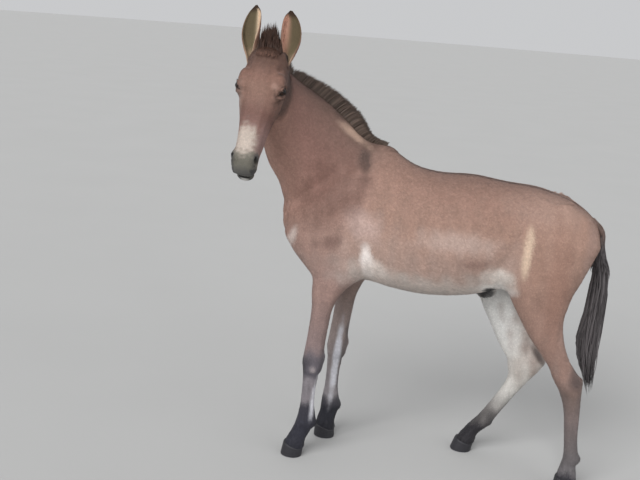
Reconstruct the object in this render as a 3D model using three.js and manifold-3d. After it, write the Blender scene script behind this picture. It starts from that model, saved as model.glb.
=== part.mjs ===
// Young mule, standing, with its head turned to its left, in life size.
// Units are millimetres. +Z is up, the body points towards -X, and its left side faces -Y.
// The flesh is one smooth body, given as sections along the trunk, neck, head and limbs.
// Each sub-part is a closed surface cast onto that body and parted from its neighbour by a thin cut.
import * as THREE from 'three';
import { mergeVertices } from 'three/addons/utils/BufferGeometryUtils.js';
import Module from 'manifold-3d';

const wasm = await Module();
wasm.setup();

// Driving dimensions of the animal.
const WITHERS = 1085;
const BARREL_LOW = 618;
const BREAST_X = -112;
const BUTTOCK_X = 903;
const HOOF_TOP = 48;
const TAIL_TIP = 292;
const EAR_LENGTH = 166;
const EAR_HALF_WIDTH = 31;
const EYE_RADIUS = 18;
const GAP = 0.3;

// How the head is carried: where the point between the eyes is, and how the face is turned.
const EYE_MID = new THREE.Vector3(-182, -242, 1275);
const HEAD_TURN = THREE.MathUtils.degToRad(88);
const FACE_STEEPNESS = THREE.MathUtils.degToRad(67);
const HEAD_ROLL = THREE.MathUtils.degToRad(5);
const EYE_ALONG = 108;
const EYE_BELOW_FACE = 42;

// How far the cast surfaces run past a cut before they are trimmed to it.
const OVERRUN = 16;
const MARCH_STEP = 9;
const BISECTIONS = 14;

// The skin colours of the parts.
const COAT_RED = 0x8a6154;
const COAT_TAN = 0xa08474;
const COAT_DARK = 0x4a403c;
const EAR_CUP = 0x82765a;
const HORN = 0x2b2a2c;
const EYE_DARK = 0x1c1410;
const HAIR_DARK = 0x4b4140;

// Trunk sections by x: low and high are the underline and the topline, a negative lean narrows the top.
const TRUNK = [
  { at: BREAST_X, low: 800, high: 852, centre: 0, half: 24, lean: 0 },
  { at: -100, low: 764, high: 888, centre: 0, half: 64, lean: 0 },
  { at: -70, low: 712, high: 925, centre: 0, half: 102, lean: -0.1 },
  { at: -20, low: 672, high: 985, centre: 0, half: 122, lean: -0.2 },
  { at: 60, low: 650, high: 1038, centre: 0, half: 132, lean: -0.3 },
  { at: 140, low: 642, high: 1070, centre: 0, half: 140, lean: -0.42 },
  { at: 199, low: 636, high: WITHERS, centre: 0, half: 150, lean: -0.42 },
  { at: 288, low: 624, high: 1046, centre: 0, half: 168, lean: -0.3 },
  { at: 371, low: BARREL_LOW, high: 1029, centre: 0, half: 178, lean: -0.2 },
  { at: 487, low: 628, high: 1030, centre: 0, half: 178, lean: -0.15 },
  { at: 588, low: 655, high: 1018, centre: 0, half: 164, lean: -0.1 },
  { at: 689, low: 700, high: 1008, centre: 0, half: 146, lean: -0.05 },
  { at: 768, low: 735, high: 987, centre: 0, half: 138, lean: -0.1 },
  { at: 831, low: 765, high: 962, centre: 0, half: 116, lean: -0.1 },
  { at: 880, low: 800, high: 925, centre: 0, half: 74, lean: 0 },
  { at: BUTTOCK_X, low: 835, high: 885, centre: 0, half: 28, lean: 0 },
];

// Neck sections by distance along the neck's own line, which rises forward in side view.
// The section turns with the head, so that the crest stays behind the poll.
const NECK_RISE = new THREE.Vector3(-0.525, 0, 0.851);
const NECK_REAR = new THREE.Vector3(0.851, 0, 0.525);
const LEFT_TO_RIGHT = new THREE.Vector3(0, 1, 0);
const NECK = [
  { at: 740, middle: 535, deep: 184, centre: 0, half: 98, lean: -0.3, twist: 0 },
  { at: 820, middle: 528, deep: 175, centre: -6, half: 94, lean: -0.35, twist: 0.05 },
  { at: 886, middle: 527, deep: 160, centre: -14, half: 86, lean: -0.4, twist: 0.1 },
  { at: 960, middle: 521, deep: 150, centre: -32, half: 76, lean: -0.4, twist: 0.25 },
  { at: 1040, middle: 521, deep: 130, centre: -58, half: 68, lean: -0.38, twist: 0.5 },
  { at: 1110, middle: 521, deep: 113, centre: -86, half: 62, lean: -0.3, twist: 0.85 },
  { at: 1184, middle: 520, deep: 97, centre: -114, half: 53, lean: -0.2, twist: 1.25 },
  { at: 1235, middle: 512, deep: 78, centre: -124, half: 43, lean: -0.1, twist: 1.4 },
];

// Head sections by distance down the face from the poll: low is the jaw side, high the face side.
const HEAD = [
  { at: -14, low: -95, high: -38, centre: 0, half: 30, lean: 0 },
  { at: 0, low: -125, high: -16, centre: 0, half: 46, lean: 0 },
  { at: 25, low: -150, high: -3, centre: 0, half: 59, lean: 0.05 },
  { at: 60, low: -166, high: 5, centre: 0, half: 66, lean: 0.12 },
  { at: 95, low: -172, high: 7, centre: 0, half: 70, lean: 0.18 },
  { at: 130, low: -168, high: 4, centre: 0, half: 67, lean: 0.2 },
  { at: 165, low: -153, high: -2, centre: 0, half: 60, lean: 0.2 },
  { at: 200, low: -134, high: -7, centre: 0, half: 53, lean: 0.15 },
  { at: 240, low: -115, high: -11, centre: 0, half: 46, lean: 0.1 },
  { at: 280, low: -101, high: -14, centre: 0, half: 40.5, lean: 0.05 },
  { at: 315, low: -94, high: -15, centre: 0, half: 38, lean: 0.05 },
  { at: 345, low: -90, high: -17, centre: 0, half: 38, lean: 0 },
  { at: 365, low: -84, high: -24, centre: 0, half: 36, lean: 0 },
  { at: 380, low: -74, high: -38, centre: 0, half: 30, lean: 0 },
];

// Limb sections by height: low and high are the front and rear edges in side view.
const FORELEG = [
  { at: 14, low: -66, high: 14, half: 30 },
  { at: 52, low: -57, high: 13, half: 30 },
  { at: 80, low: -45, high: 22, half: 26 },
  { at: 105, low: -34, high: 33, half: 25 },
  { at: 135, low: -25, high: 45, half: 29 },
  { at: 160, low: -20, high: 42, half: 26 },
  { at: 200, low: -15, high: 36, half: 21 },
  { at: 250, low: -13, high: 36, half: 21 },
  { at: 300, low: -13, high: 42, half: 26 },
  { at: 335, low: -15, high: 53, half: 34 },
  { at: 370, low: -16, high: 55, half: 35 },
  { at: 420, low: -11, high: 56, half: 32 },
  { at: 480, low: -5, high: 62, half: 33 },
  { at: 550, low: -1, high: 72, half: 37 },
  { at: 600, low: -5, high: 94, half: 41 },
  { at: 657, low: -10, high: 136, half: 47 },
  { at: 700, low: -40, high: 152, half: 52 },
  { at: 745, low: -76, high: 156, half: 57 },
  { at: 800, low: -90, high: 160, half: 59 },
  { at: 860, low: -50, high: 165, half: 57 },
  { at: 940, low: 20, high: 165, half: 48 },
  { at: 1000, low: 70, high: 150, half: 34 },
];
const LEFT_HINDLEG = [
  { at: 14, low: 868, high: 946, half: 30 },
  { at: 50, low: 874, high: 941, half: 30 },
  { at: 75, low: 878, high: 938, half: 27 },
  { at: 98, low: 883, high: 934, half: 27 },
  { at: 122, low: 886, high: 940, half: 30 },
  { at: 150, low: 884, high: 932, half: 26 },
  { at: 200, low: 877, high: 924, half: 23 },
  { at: 281, low: 864, high: 919, half: 23 },
  { at: 320, low: 853, high: 916, half: 27 },
  { at: 351, low: 842, high: 914, half: 32 },
  { at: 380, low: 822, high: 911, half: 36 },
  { at: 405, low: 807, high: 903, half: 34 },
  { at: 435, low: 792, high: 880, half: 31 },
  { at: 467, low: 768, high: 858, half: 32 },
  { at: 532, low: 716, high: 832, half: 41 },
  { at: 600, low: 672, high: 822, half: 52 },
  { at: 657, low: 638, high: 832, half: 61 },
  { at: 700, low: 621, high: 846, half: 69 },
  { at: 749, low: 613, high: 864, half: 77 },
  { at: 816, low: 622, high: 890, half: 82 },
  { at: 860, low: 632, high: 900, half: 82 },
  { at: 930, low: 660, high: 858, half: 68 },
  { at: 975, low: 700, high: 800, half: 42 },
];
const RIGHT_HINDLEG = [
  { at: 14, low: 528, high: 608, half: 30 },
  { at: 50, low: 548, high: 614, half: 30 },
  { at: 68, low: 558, high: 619, half: 27 },
  { at: 88, low: 571, high: 633, half: 27 },
  { at: 112, low: 590, high: 656, half: 30 },
  { at: 139, low: 611, high: 672, half: 27 },
  { at: 195, low: 643, high: 706, half: 23 },
  { at: 266, low: 681, high: 750, half: 24 },
  { at: 307, low: 694, high: 778, half: 29 },
  { at: 340, low: 692, high: 802, half: 35 },
  { at: 372, low: 682, high: 818, half: 36 },
  { at: 399, low: 664, high: 810, half: 34 },
  { at: 434, low: 641, high: 790, half: 35 },
  { at: 497, low: 607, high: 768, half: 43 },
  { at: 574, low: 566, high: 758, half: 53 },
  { at: 620, low: 550, high: 774, half: 60 },
  { at: 657, low: 542, high: 798, half: 66 },
  { at: 720, low: 546, high: 836, half: 75 },
  { at: 780, low: 562, high: 860, half: 81 },
  { at: 850, low: 592, high: 885, half: 82 },
  { at: 930, low: 640, high: 855, half: 68 },
  { at: 975, low: 690, high: 800, half: 42 },
];

const lerp = THREE.MathUtils.lerp;
const clamp = THREE.MathUtils.clamp;

/** Runs two distances together over a width of `blend`. */
function blendNear(a, b, blend) {
  const share = Math.max(blend - Math.abs(a - b), 0) / blend;
  return Math.min(a, b) - share * share * blend / 4;
}

/** A table of sections, read at any place between its rows along smooth curves. */
class Profile {
  constructor(rows) {
    this.rows = rows;
    this.keys = Object.keys(rows[0]).filter((key) => key !== 'at');
    this.slopes = rows.map((row, index) => this.slopeAt(index));
  }

  slopeAt(index) {
    const before = this.rows[Math.max(index - 1, 0)];
    const after = this.rows[Math.min(index + 1, this.rows.length - 1)];
    return Object.fromEntries(this.keys.map((key) => [key, (after[key] - before[key]) / (after.at - before.at)]));
  }

  read(at) {
    const last = this.rows.length - 1;
    let index = 0;
    while (index < last - 1 && at > this.rows[index + 1].at) {
      index += 1;
    }
    const start = this.rows[index];
    const end = this.rows[index + 1];
    const span = end.at - start.at;
    const t = clamp((at - start.at) / span, 0, 1);
    const t2 = t * t;
    const t3 = t2 * t;
    const out = {};
    for (const key of this.keys) {
      out[key] = (2 * t3 - 3 * t2 + 1) * start[key]
        + (t3 - 2 * t2 + t) * span * this.slopes[index][key]
        + (3 * t2 - 2 * t3) * end[key]
        + (t3 - t2) * span * this.slopes[index + 1][key];
    }
    return out;
  }
}

/** A body given by sections: `place` turns a point into the table's own along, depth and side. */
class SectionBody {
  constructor(rows, place, power) {
    const full = rows.map((row) => ({
      at: row.at,
      middle: row.middle ?? (row.low + row.high) / 2,
      deep: row.deep ?? (row.high - row.low) / 2,
      centre: row.centre,
      half: row.half,
      lean: row.lean ?? 0,
      twist: row.twist ?? 0,
    }));
    this.profile = new Profile(full);
    this.first = full[0].at;
    this.last = full[full.length - 1].at;
    this.place = place;
    this.power = power;
  }

  distance(point) {
    const [along, depth, side] = this.place(point);
    const at = clamp(along, this.first, this.last);
    const row = this.profile.read(at);
    const cosine = Math.cos(row.twist);
    const sine = Math.sin(row.twist);
    const rawDepth = depth - row.middle;
    const rawSide = side - row.centre;
    const u = (rawDepth * cosine + rawSide * sine) / row.deep;
    const width = row.half * Math.max(1 + row.lean * clamp(u, -1, 1), 0.3);
    const v = (rawSide * cosine - rawDepth * sine) / width;
    const ring = Math.pow(Math.abs(u) ** this.power + Math.abs(v) ** this.power, 1 / this.power);
    const across = (ring - 1) * Math.min(row.deep, row.half);
    const beyond = Math.abs(along - at);
    return beyond > 0 ? Math.hypot(Math.max(across, 0), beyond) : across;
  }
}

/** A rounded swelling with three radii, in the frame of the body that it belongs to. */
class Swelling {
  constructor(centre, radii, blend) {
    this.centre = centre;
    this.radii = radii;
    this.blend = blend;
  }

  distance(x, y, z) {
    const u = (x - this.centre[0]) / this.radii[0];
    const v = (y - this.centre[1]) / this.radii[1];
    const w = (z - this.centre[2]) / this.radii[2];
    return (Math.hypot(u, v, w) - 1) * Math.min(...this.radii);
  }
}

/** The head's own frame: down the face, out of the face, and towards the mule's right. */
function makeHeadFrame() {
  const heading = new THREE.Vector3(-Math.cos(HEAD_TURN), -Math.sin(HEAD_TURN), 0);
  const up = new THREE.Vector3(0, 0, 1);
  const right = heading.clone().cross(up);
  const down = heading.clone().multiplyScalar(Math.cos(FACE_STEEPNESS));
  down.addScaledVector(up, -Math.sin(FACE_STEEPNESS));
  const out = heading.clone().multiplyScalar(Math.sin(FACE_STEEPNESS));
  out.addScaledVector(up, Math.cos(FACE_STEEPNESS));
  const rolledRight = right.clone().multiplyScalar(Math.cos(HEAD_ROLL)).addScaledVector(down, -Math.sin(HEAD_ROLL));
  const rolledDown = down.clone().multiplyScalar(Math.cos(HEAD_ROLL)).addScaledVector(right, Math.sin(HEAD_ROLL));
  const origin = EYE_MID.clone().addScaledVector(rolledDown, -EYE_ALONG).addScaledVector(out, EYE_BELOW_FACE);
  const matrix = new THREE.Matrix4().makeBasis(rolledDown, out, rolledRight);
  matrix.setPosition(origin);
  return matrix;
}

const HEAD_FRAME = makeHeadFrame();
const HEAD_INVERSE = HEAD_FRAME.clone().invert();

/** Turns a place in the head's frame into a point of the model. */
function headPoint(along, out, right) {
  return new THREE.Vector3(along, out, right).applyMatrix4(HEAD_FRAME);
}

/** Turns a direction in the head's frame into a direction of the model. */
function headDirection(along, out, right) {
  return new THREE.Vector3(along, out, right).transformDirection(HEAD_FRAME);
}

/** The pair of swellings, one on each side of the head. */
function bothSides(centre, radii, blend) {
  const mirrored = [centre[0], centre[1], -centre[2]];
  return [new Swelling(centre, radii, blend), new Swelling(mirrored, radii, blend)];
}

const ORBIT = [121, -31, 54];
const HEAD_SWELLINGS = [
  ...bothSides(ORBIT, [31, 27, 25], 12),
  ...bothSides([91, -18, 50], [20, 16, 18], 14),
  ...bothSides([112, -118, 42], [60, 46, 22], 16),
  ...bothSides([16, -56, 54], [26, 28, 25], 12),
  ...bothSides([334, -34, 27], [24, 17, 16], 10),
  new Swelling([366, -50, 0], [20, 24, 33], 10),
  new Swelling([372, -90, 0], [22, 13, 27], 7),
  new Swelling([346, -94, 0], [22, 14, 25], 9),
];

const headBody = new SectionBody(HEAD, (p) => [p.x, p.y, p.z], 2.4);

/** Distance to the head's surface, with its brows, cheeks, nostril rims and lips. */
function headDistance(point) {
  const local = point.clone().applyMatrix4(HEAD_INVERSE);
  let distance = headBody.distance(local);
  for (const swelling of HEAD_SWELLINGS) {
    distance = blendNear(distance, swelling.distance(local.x, local.y, local.z), swelling.blend);
  }
  return distance;
}

/** Fills in a limb's table: which side it stands on, and how far its lower end is set back. */
function limbRows(rows, sideAt, setBack) {
  return rows.map((row) => {
    const shift = setBack(row.at);
    return { ...row, low: row.low + shift, high: row.high + shift, centre: sideAt(row.at) };
  });
}

/** A ramp that reads `foot` at the floor, `top` above `height`, and runs straight between. */
function ramp(foot, top, height) {
  return (at) => lerp(foot, top, clamp(at / height, 0, 1));
}

const FORE_TOP = 900;
const FORE_STANCE = 98;
const RIGHT_FORE_STANCE = 70;
const HIND_STANCE = 99;
const SHOULDER_SIDE = 74;
const HIP_SIDE = 70;
const RIGHT_FORE_BACK = 98;

/** Lateral place of a foreleg, from the shoulder down to the hoof. */
function foreSide(sign, stance) {
  return (at) => sign * (at > 600 ? lerp(stance, SHOULDER_SIDE, clamp((at - 600) / 300, 0, 1)) : stance);
}

/** Lateral place of a hind leg, from the hip down to the hoof. */
function hindSide(sign) {
  return (at) => sign * (at > 700 ? lerp(94, HIP_SIDE, clamp((at - 700) / 230, 0, 1)) : ramp(HIND_STANCE, 94, 700)(at));
}

/** The right foreleg stands further back, and its shoulder stays where the left one is. */
function rightForeSetBack(at) {
  return RIGHT_FORE_BACK * (1 - THREE.MathUtils.smoothstep(at, 560, FORE_TOP)) * lerp(1, 0.66, clamp(at / 150, 0, 1));
}

const LIMB_PLACE = (p) => [p.z, p.x, p.y];
const LIMB_POWER = 2.15;
const limbTables = {
  foreleg_left: limbRows(FORELEG, foreSide(-1, FORE_STANCE), () => 0),
  foreleg_right: limbRows(FORELEG, foreSide(1, RIGHT_FORE_STANCE), rightForeSetBack),
  hindleg_left: limbRows(LEFT_HINDLEG, hindSide(-1), () => 0),
  hindleg_right: limbRows(RIGHT_HINDLEG, hindSide(1), () => 0),
};
const limbBodies = Object.values(limbTables).map((rows) => new SectionBody(rows, LIMB_PLACE, LIMB_POWER));
const limbProfiles = Object.fromEntries(Object.keys(limbTables).map((name, index) => [name, limbBodies[index].profile]));
const trunkBody = new SectionBody(TRUNK, (p) => [p.x, p.z, p.y], 2.25);
const neckBody = new SectionBody(NECK, (p) => [p.dot(NECK_RISE), p.dot(NECK_REAR), p.y], 2.1);
const sheath = new Swelling([570, 0, 664], [46, 21, 25], 14);

const LIMB_BLEND = 34;
const NECK_BLEND = 60;
const HEAD_BLEND = 30;

/** Distance to the surface of the whole animal, less its ears, hair and hooves. */
function bodyDistance(point) {
  let distance = trunkBody.distance(point);
  for (const limb of limbBodies) {
    distance = blendNear(distance, limb.distance(point), LIMB_BLEND);
  }
  distance = blendNear(distance, sheath.distance(point.x, point.y, point.z), sheath.blend);
  distance = blendNear(distance, neckBody.distance(point), NECK_BLEND);
  return blendNear(distance, headDistance(point), HEAD_BLEND);
}

/** A cut between two parts: the plane through `through`, with `normal` on the far side. */
function makeCut(through, normal) {
  return new THREE.Plane().setFromNormalAndCoplanarPoint(normal.clone().normalize(), through);
}

/** The plane that holds two points and a direction, facing the point `towards`. */
function cutAlong(from, to, across, towards) {
  const cut = makeCut(from, to.clone().sub(from).cross(across));
  return cut.distanceToPoint(towards) > 0 ? cut : cut.negate();
}

const NECK_CUT_CREST = new THREE.Vector3(168, 0, 1108);
const NECK_CUT_BREAST = new THREE.Vector3(-128, 0, 826);
const neckCut = cutAlong(NECK_CUT_BREAST, NECK_CUT_CREST, new THREE.Vector3(0, 1, 0), EYE_MID);
const NAPE_CUT = [-10, -145];
const JAW_CUT = [190, -157];
const napeCut = cutAlong(headPoint(...NAPE_CUT, 0), headPoint(...JAW_CUT, 0), headDirection(0, 0, 1), EYE_MID);

/** The sloping cut that parts a limb from the trunk; it rises outwards by `outward` and back by `backward`. */
function limbCut(sign, inner, backward, outward) {
  return makeCut(inner, new THREE.Vector3(backward, sign * outward, -1));
}

const limbCuts = {
  foreleg_left: limbCut(-1, new THREE.Vector3(60, -45, 628), 0, 0.59),
  foreleg_right: limbCut(1, new THREE.Vector3(60, 30, 628), 0, 0.59),
  hindleg_left: limbCut(-1, new THREE.Vector3(600, -30, 640), 0.45, 0.45),
  hindleg_right: limbCut(1, new THREE.Vector3(540, 30, 632), 0.42, 0.45),
};

// From where to where, front to rear, each limb's cut takes from the trunk.
const LIMB_SPANS = {
  foreleg_left: [-200, 190],
  foreleg_right: [-200, 240],
  hindleg_left: [560, 1000],
  hindleg_right: [480, 1000],
};
const MIDLINE_CLEAR = 6;

/** True where a point belongs to a limb by more than the overrun. */
function deepInLimb(point) {
  return Object.entries(limbCuts).some(([name, cut]) => {
    const sideways = name.endsWith('left') ? -point.y : point.y;
    const [front, rear] = LIMB_SPANS[name];
    const within = sideways > MIDLINE_CLEAR && point.x > front && point.x < rear;
    return within && cut.distanceToPoint(point) > OVERRUN;
  });
}

/** Finds how far a ray runs inside a shape, by stepping out and then halving the last step. */
function castRay(origin, direction, inside) {
  const point = new THREE.Vector3();
  let near = 0;
  let far = MARCH_STEP;
  while (inside(point.copy(origin).addScaledVector(direction, far))) {
    near = far;
    far += MARCH_STEP;
  }
  for (let pass = 0; pass < BISECTIONS; pass += 1) {
    const middle = (near + far) / 2;
    if (inside(point.copy(origin).addScaledVector(direction, middle))) {
      near = middle;
    } else {
      far = middle;
    }
  }
  return origin.clone().addScaledVector(direction, (near + far) / 2);
}

/** Makes an indexed geometry from points and triangles. */
function meshFrom(points, triangles) {
  const geometry = new THREE.BufferGeometry();
  geometry.setAttribute('position', new THREE.Float32BufferAttribute(points.flatMap((p) => [p.x, p.y, p.z]), 3));
  geometry.setIndex(triangles);
  return geometry;
}

/** Joins rings of points, all of one count, into a closed surface with a point at each end. */
function skinRings(rings, startPoint, endPoint) {
  const count = rings[0].length;
  const points = [startPoint, ...rings.flat(), endPoint];
  const last = points.length - 1;
  const at = (ring, index) => 1 + ring * count + (index % count);
  const triangles = [];
  for (let index = 0; index < count; index += 1) {
    triangles.push(0, at(0, index + 1), at(0, index));
    triangles.push(last, at(rings.length - 1, index), at(rings.length - 1, index + 1));
  }
  for (let ring = 0; ring < rings.length - 1; ring += 1) {
    for (let index = 0; index < count; index += 1) {
      const a = at(ring, index);
      const b = at(ring, index + 1);
      const c = at(ring + 1, index);
      const d = at(ring + 1, index + 1);
      triangles.push(a, b, c, b, d, c);
    }
  }
  return meshFrom(points, triangles);
}

/** Casts rings of rays onto a shape. A ring's cone tilts its rays towards its axis. */
function castRings(rings, segments, inside) {
  return rings.map(({ origin, axis, side, cone = 0 }) => {
    const first = side.clone().addScaledVector(axis, -side.dot(axis)).normalize();
    const second = axis.clone().cross(first);
    return Array.from({ length: segments }, (unused, index) => {
      const angle = index / segments * Math.PI * 2;
      const direction = first.clone().multiplyScalar(Math.cos(angle) * Math.cos(cone));
      direction.addScaledVector(second, Math.sin(angle) * Math.cos(cone));
      direction.addScaledVector(axis, Math.sin(cone));
      return castRay(origin, direction, inside);
    });
  });
}

/** Rings for a rounded end: the rays swing from across the body to straight along the axis. */
function domeRings(ring, count, sign) {
  const rings = Array.from({ length: count }, (unused, index) => {
    const cone = sign * (index + 1) / (count + 1) * Math.PI / 2;
    return { ...ring, cone };
  });
  return sign < 0 ? rings.reverse() : rings;
}

/** Turns a closed geometry into a solid. */
function toSolid(geometry) {
  const bare = new THREE.BufferGeometry();
  bare.setAttribute('position', geometry.getAttribute('position').clone());
  if (geometry.index) {
    bare.setIndex(geometry.index.clone());
  }
  const merged = mergeVertices(bare, 1e-4);
  return new wasm.Manifold(new wasm.Mesh({
    numProp: 3,
    vertProperties: new Float32Array(merged.getAttribute('position').array),
    triVerts: new Uint32Array(merged.index.array),
  }));
}

/** Turns a solid back into a geometry. */
function toGeometry(solid) {
  const mesh = solid.getMesh();
  const geometry = new THREE.BufferGeometry();
  geometry.setAttribute('position', new THREE.Float32BufferAttribute(mesh.vertProperties, 3));
  geometry.setIndex(new THREE.Uint32BufferAttribute(mesh.triVerts, 1));
  return geometry;
}

/** Keeps the largest closed piece of a solid. */
function largestPiece(solid) {
  return solid.decompose().reduce((best, piece) => (piece.volume() > best.volume() ? piece : best));
}

/** Trims a solid to one side of a cut, half a gap short of it. `side` is 1 for the far side. */
function trimTo(solid, cut, side) {
  const normal = cut.normal.clone().multiplyScalar(side);
  const offset = -cut.constant * side + GAP / 2;
  return solid.trimByPlane([normal.x, normal.y, normal.z], offset);
}

/** Even steps from `from` to `to`, both included. */
function steps(from, to, count) {
  return Array.from({ length: count }, (unused, index) => lerp(from, to, index / (count - 1)));
}

const TRUNK_RINGS = 22;
const TRUNK_SEGMENTS = 32;
const TRUNK_DOME = 5;

/** The trunk, from the breast to the buttocks, without the neck and limbs. `swell` grows the surface. */
function makeTrunk(swell) {
  const axis = new THREE.Vector3(1, 0, 0);
  const side = new THREE.Vector3(0, 0, 1);
  const body = steps(0, 800, TRUNK_RINGS).map((x) => ({ origin: new THREE.Vector3(x, 0, lerp(850, 868, x / 800)), axis, side }));
  const rings = [
    ...domeRings(body[0], TRUNK_DOME, -1),
    ...body,
    ...domeRings(body[body.length - 1], TRUNK_DOME, 1),
  ];
  const inside = (p) => bodyDistance(p) < swell && neckCut.distanceToPoint(p) < OVERRUN && !deepInLimb(p);
  const front = castRay(body[0].origin, axis.clone().negate(), inside);
  const rear = castRay(body[body.length - 1].origin, axis, inside);
  let solid = toSolid(skinRings(castRings(rings, TRUNK_SEGMENTS, inside), front, rear));
  solid = trimTo(solid, neckCut, -1);
  for (const name of Object.keys(limbCuts)) {
    solid = solid.subtract(limbZone(name, GAP / 2));
  }
  return largestPiece(solid);
}

/** The space that belongs to a limb, below its cut and to one side of the trunk's middle. */
function limbZone(name, margin) {
  const cut = limbCuts[name];
  const sign = name.endsWith('left') ? -1 : 1;
  const [front, rear] = LIMB_SPANS[name];
  const block = new THREE.BoxGeometry(rear - front + 2 * margin, 240 + 2 * margin, 900);
  block.translate((front + rear) / 2, sign * (120 + MIDLINE_CLEAR), 450);
  const normal = cut.normal;
  return toSolid(block).trimByPlane([normal.x, normal.y, normal.z], -cut.constant - margin);
}

const LIMB_RINGS = 20;
const LIMB_SEGMENTS = 14;
const LIMB_REACH = 55;

/** A leg, from its cut below the trunk to the top of its hoof. */
function makeLimb(name) {
  const cut = limbCuts[name];
  const own = limbBodies[Object.keys(limbTables).indexOf(name)];
  const centreAt = (z) => {
    const row = own.profile.read(z);
    return new THREE.Vector3(row.middle, row.centre, z);
  };
  let top = 800;
  while (cut.distanceToPoint(centreAt(top)) < -OVERRUN) {
    top -= 2;
  }
  const down = new THREE.Vector3(0, 0, -1);
  const side = new THREE.Vector3(-1, 0, 0);
  const rings = steps(0, 1, LIMB_RINGS).map((share) => {
    const z = lerp(top, HOOF_TOP - HOOF_DROP, share);
    const axis = cut.normal.clone().lerp(down, THREE.MathUtils.smoothstep(share, 0, 0.4)).normalize();
    return { origin: centreAt(z), axis, side };
  });
  const inside = (p) => bodyDistance(p) < 0 && own.distance(p) < LIMB_REACH;
  const cast = castRings(rings, LIMB_SEGMENTS, inside);
  let solid = toSolid(skinRings(cast, rings[0].origin, rings[rings.length - 1].origin));
  solid = solid.intersect(limbZone(name, -GAP / 2));
  return largestPiece(trimTo(solid, hoofCut(name), -1));
}

// The hooves: the print on the floor, from toe to heel, and the slope of the hairline above it.
const HOOF_LENGTH = 80;
const HOOF_WIDTH = 66;
const HOOF_SLOPE = 0.3;
const HOOF_DROP = 26;
const HOOF_LIP = 1.5;
const HEEL_FLATNESS = 0.86;
const HOOF_RINGS = 4;
const HOOF_SEGMENTS = 22;
const TOES = { foreleg_left: -70, foreleg_right: 26, hindleg_left: 866, hindleg_right: 526 };

/** Where a leg stands: the middle of its hoof print. */
function hoofPlace(name) {
  const rows = limbTables[name];
  return new THREE.Vector3(TOES[name] + HOOF_LENGTH / 2, rows[0].centre, 0);
}

/** The sloping hairline plane between a leg and its hoof; it falls towards the heel. */
function hoofCut(name) {
  const middle = hoofPlace(name).setZ(HOOF_TOP - 8);
  return makeCut(middle, new THREE.Vector3(-HOOF_SLOPE, 0, -1));
}

/** One ring of the hoof wall: a rounded toe and a flatter heel, drawn in towards the hairline. */
function hoofRing(name, share) {
  const place = hoofPlace(name);
  const height = share * (HOOF_TOP + HOOF_DROP / 2);
  const hairline = limbProfiles[name].read(HOOF_TOP);
  const toe = lerp(place.x - HOOF_LENGTH / 2, hairline.middle - hairline.deep - HOOF_LIP, share);
  const heel = lerp(place.x + HOOF_LENGTH / 2, hairline.middle + hairline.deep + HOOF_LIP, share);
  const half = lerp(HOOF_WIDTH / 2, hairline.half + HOOF_LIP, share);
  return Array.from({ length: HOOF_SEGMENTS }, (unused, index) => {
    const angle = index / HOOF_SEGMENTS * Math.PI * 2;
    const forward = Math.cos(angle);
    const reach = forward > 0 ? 1 : HEEL_FLATNESS;
    const x = (toe + heel) / 2 - forward * reach * (heel - toe) / 2;
    const y = place.y - Math.sign(Math.sin(angle)) * Math.abs(Math.sin(angle)) ** 0.85 * half;
    return new THREE.Vector3(x, y, height);
  });
}

/** A hoof, flat on the floor, cut off at the hairline. */
function makeHoof(name) {
  const rings = steps(0, 1, HOOF_RINGS).map((share) => hoofRing(name, share));
  const place = hoofPlace(name);
  const top = new THREE.Vector3(place.x, place.y, HOOF_TOP + HOOF_DROP / 2);
  const solid = toSolid(skinRings(rings, place, top));
  return largestPiece(trimTo(solid, hoofCut(name), 1));
}

const NECK_RINGS = 12;
const NECK_SEGMENTS = 28;

/** The middle of the neck at a distance along its line. */
function neckMiddle(at) {
  const row = neckBody.profile.read(at);
  const point = NECK_RISE.clone().multiplyScalar(at).addScaledVector(NECK_REAR, row.middle);
  return point.setY(row.centre);
}

/** The plane of the fan from the trunk's cut to the nape's cut that passes through a point. */
function neckFanPlane(point) {
  const fromTrunk = neckCut.distanceToPoint(point);
  const share = fromTrunk / (fromTrunk - napeCut.distanceToPoint(point));
  return neckCut.normal.clone().lerp(napeCut.normal, share).normalize();
}

/** The flesh of the neck, from the trunk's cut to the cut behind the jaw. */
function makeNeckFlesh() {
  const start = NECK_CUT_BREAST.clone().lerp(NECK_CUT_CREST, 0.5).setY(-4);
  const end = headPoint((NAPE_CUT[0] + JAW_CUT[0]) / 2, (NAPE_CUT[1] + JAW_CUT[1]) / 2, 0);
  const line = new THREE.CatmullRomCurve3([start, neckMiddle(900), neckMiddle(1000), neckMiddle(1080), end]);
  const shares = steps(0, 1, NECK_RINGS);
  const rings = shares.map((share) => {
    const origin = line.getPointAt(share);
    return { origin, axis: neckFanPlane(origin), side: NECK_REAR };
  });
  rings[0].origin = start.clone().addScaledVector(neckCut.normal, -OVERRUN);
  rings[rings.length - 1].origin = end.clone().addScaledVector(napeCut.normal, OVERRUN);
  const inside = (p) => bodyDistance(p) < 0;
  const cast = castRings(rings, NECK_SEGMENTS, inside);
  const solid = toSolid(skinRings(cast, rings[0].origin, rings[rings.length - 1].origin));
  return trimTo(trimTo(solid, neckCut, 1), napeCut, -1);
}

const HEAD_RINGS = 33;
const HEAD_SEGMENTS = 30;
const HEAD_DOME = 4;
const HEAD_SPINE_TOP = 34;
const HEAD_SPINE_LOW = 352;
const HEAD_SPINE_LIFT = 0.1;
const NAPE_OVERRUN = 44;
const EAR_BACK = 6;

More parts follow.
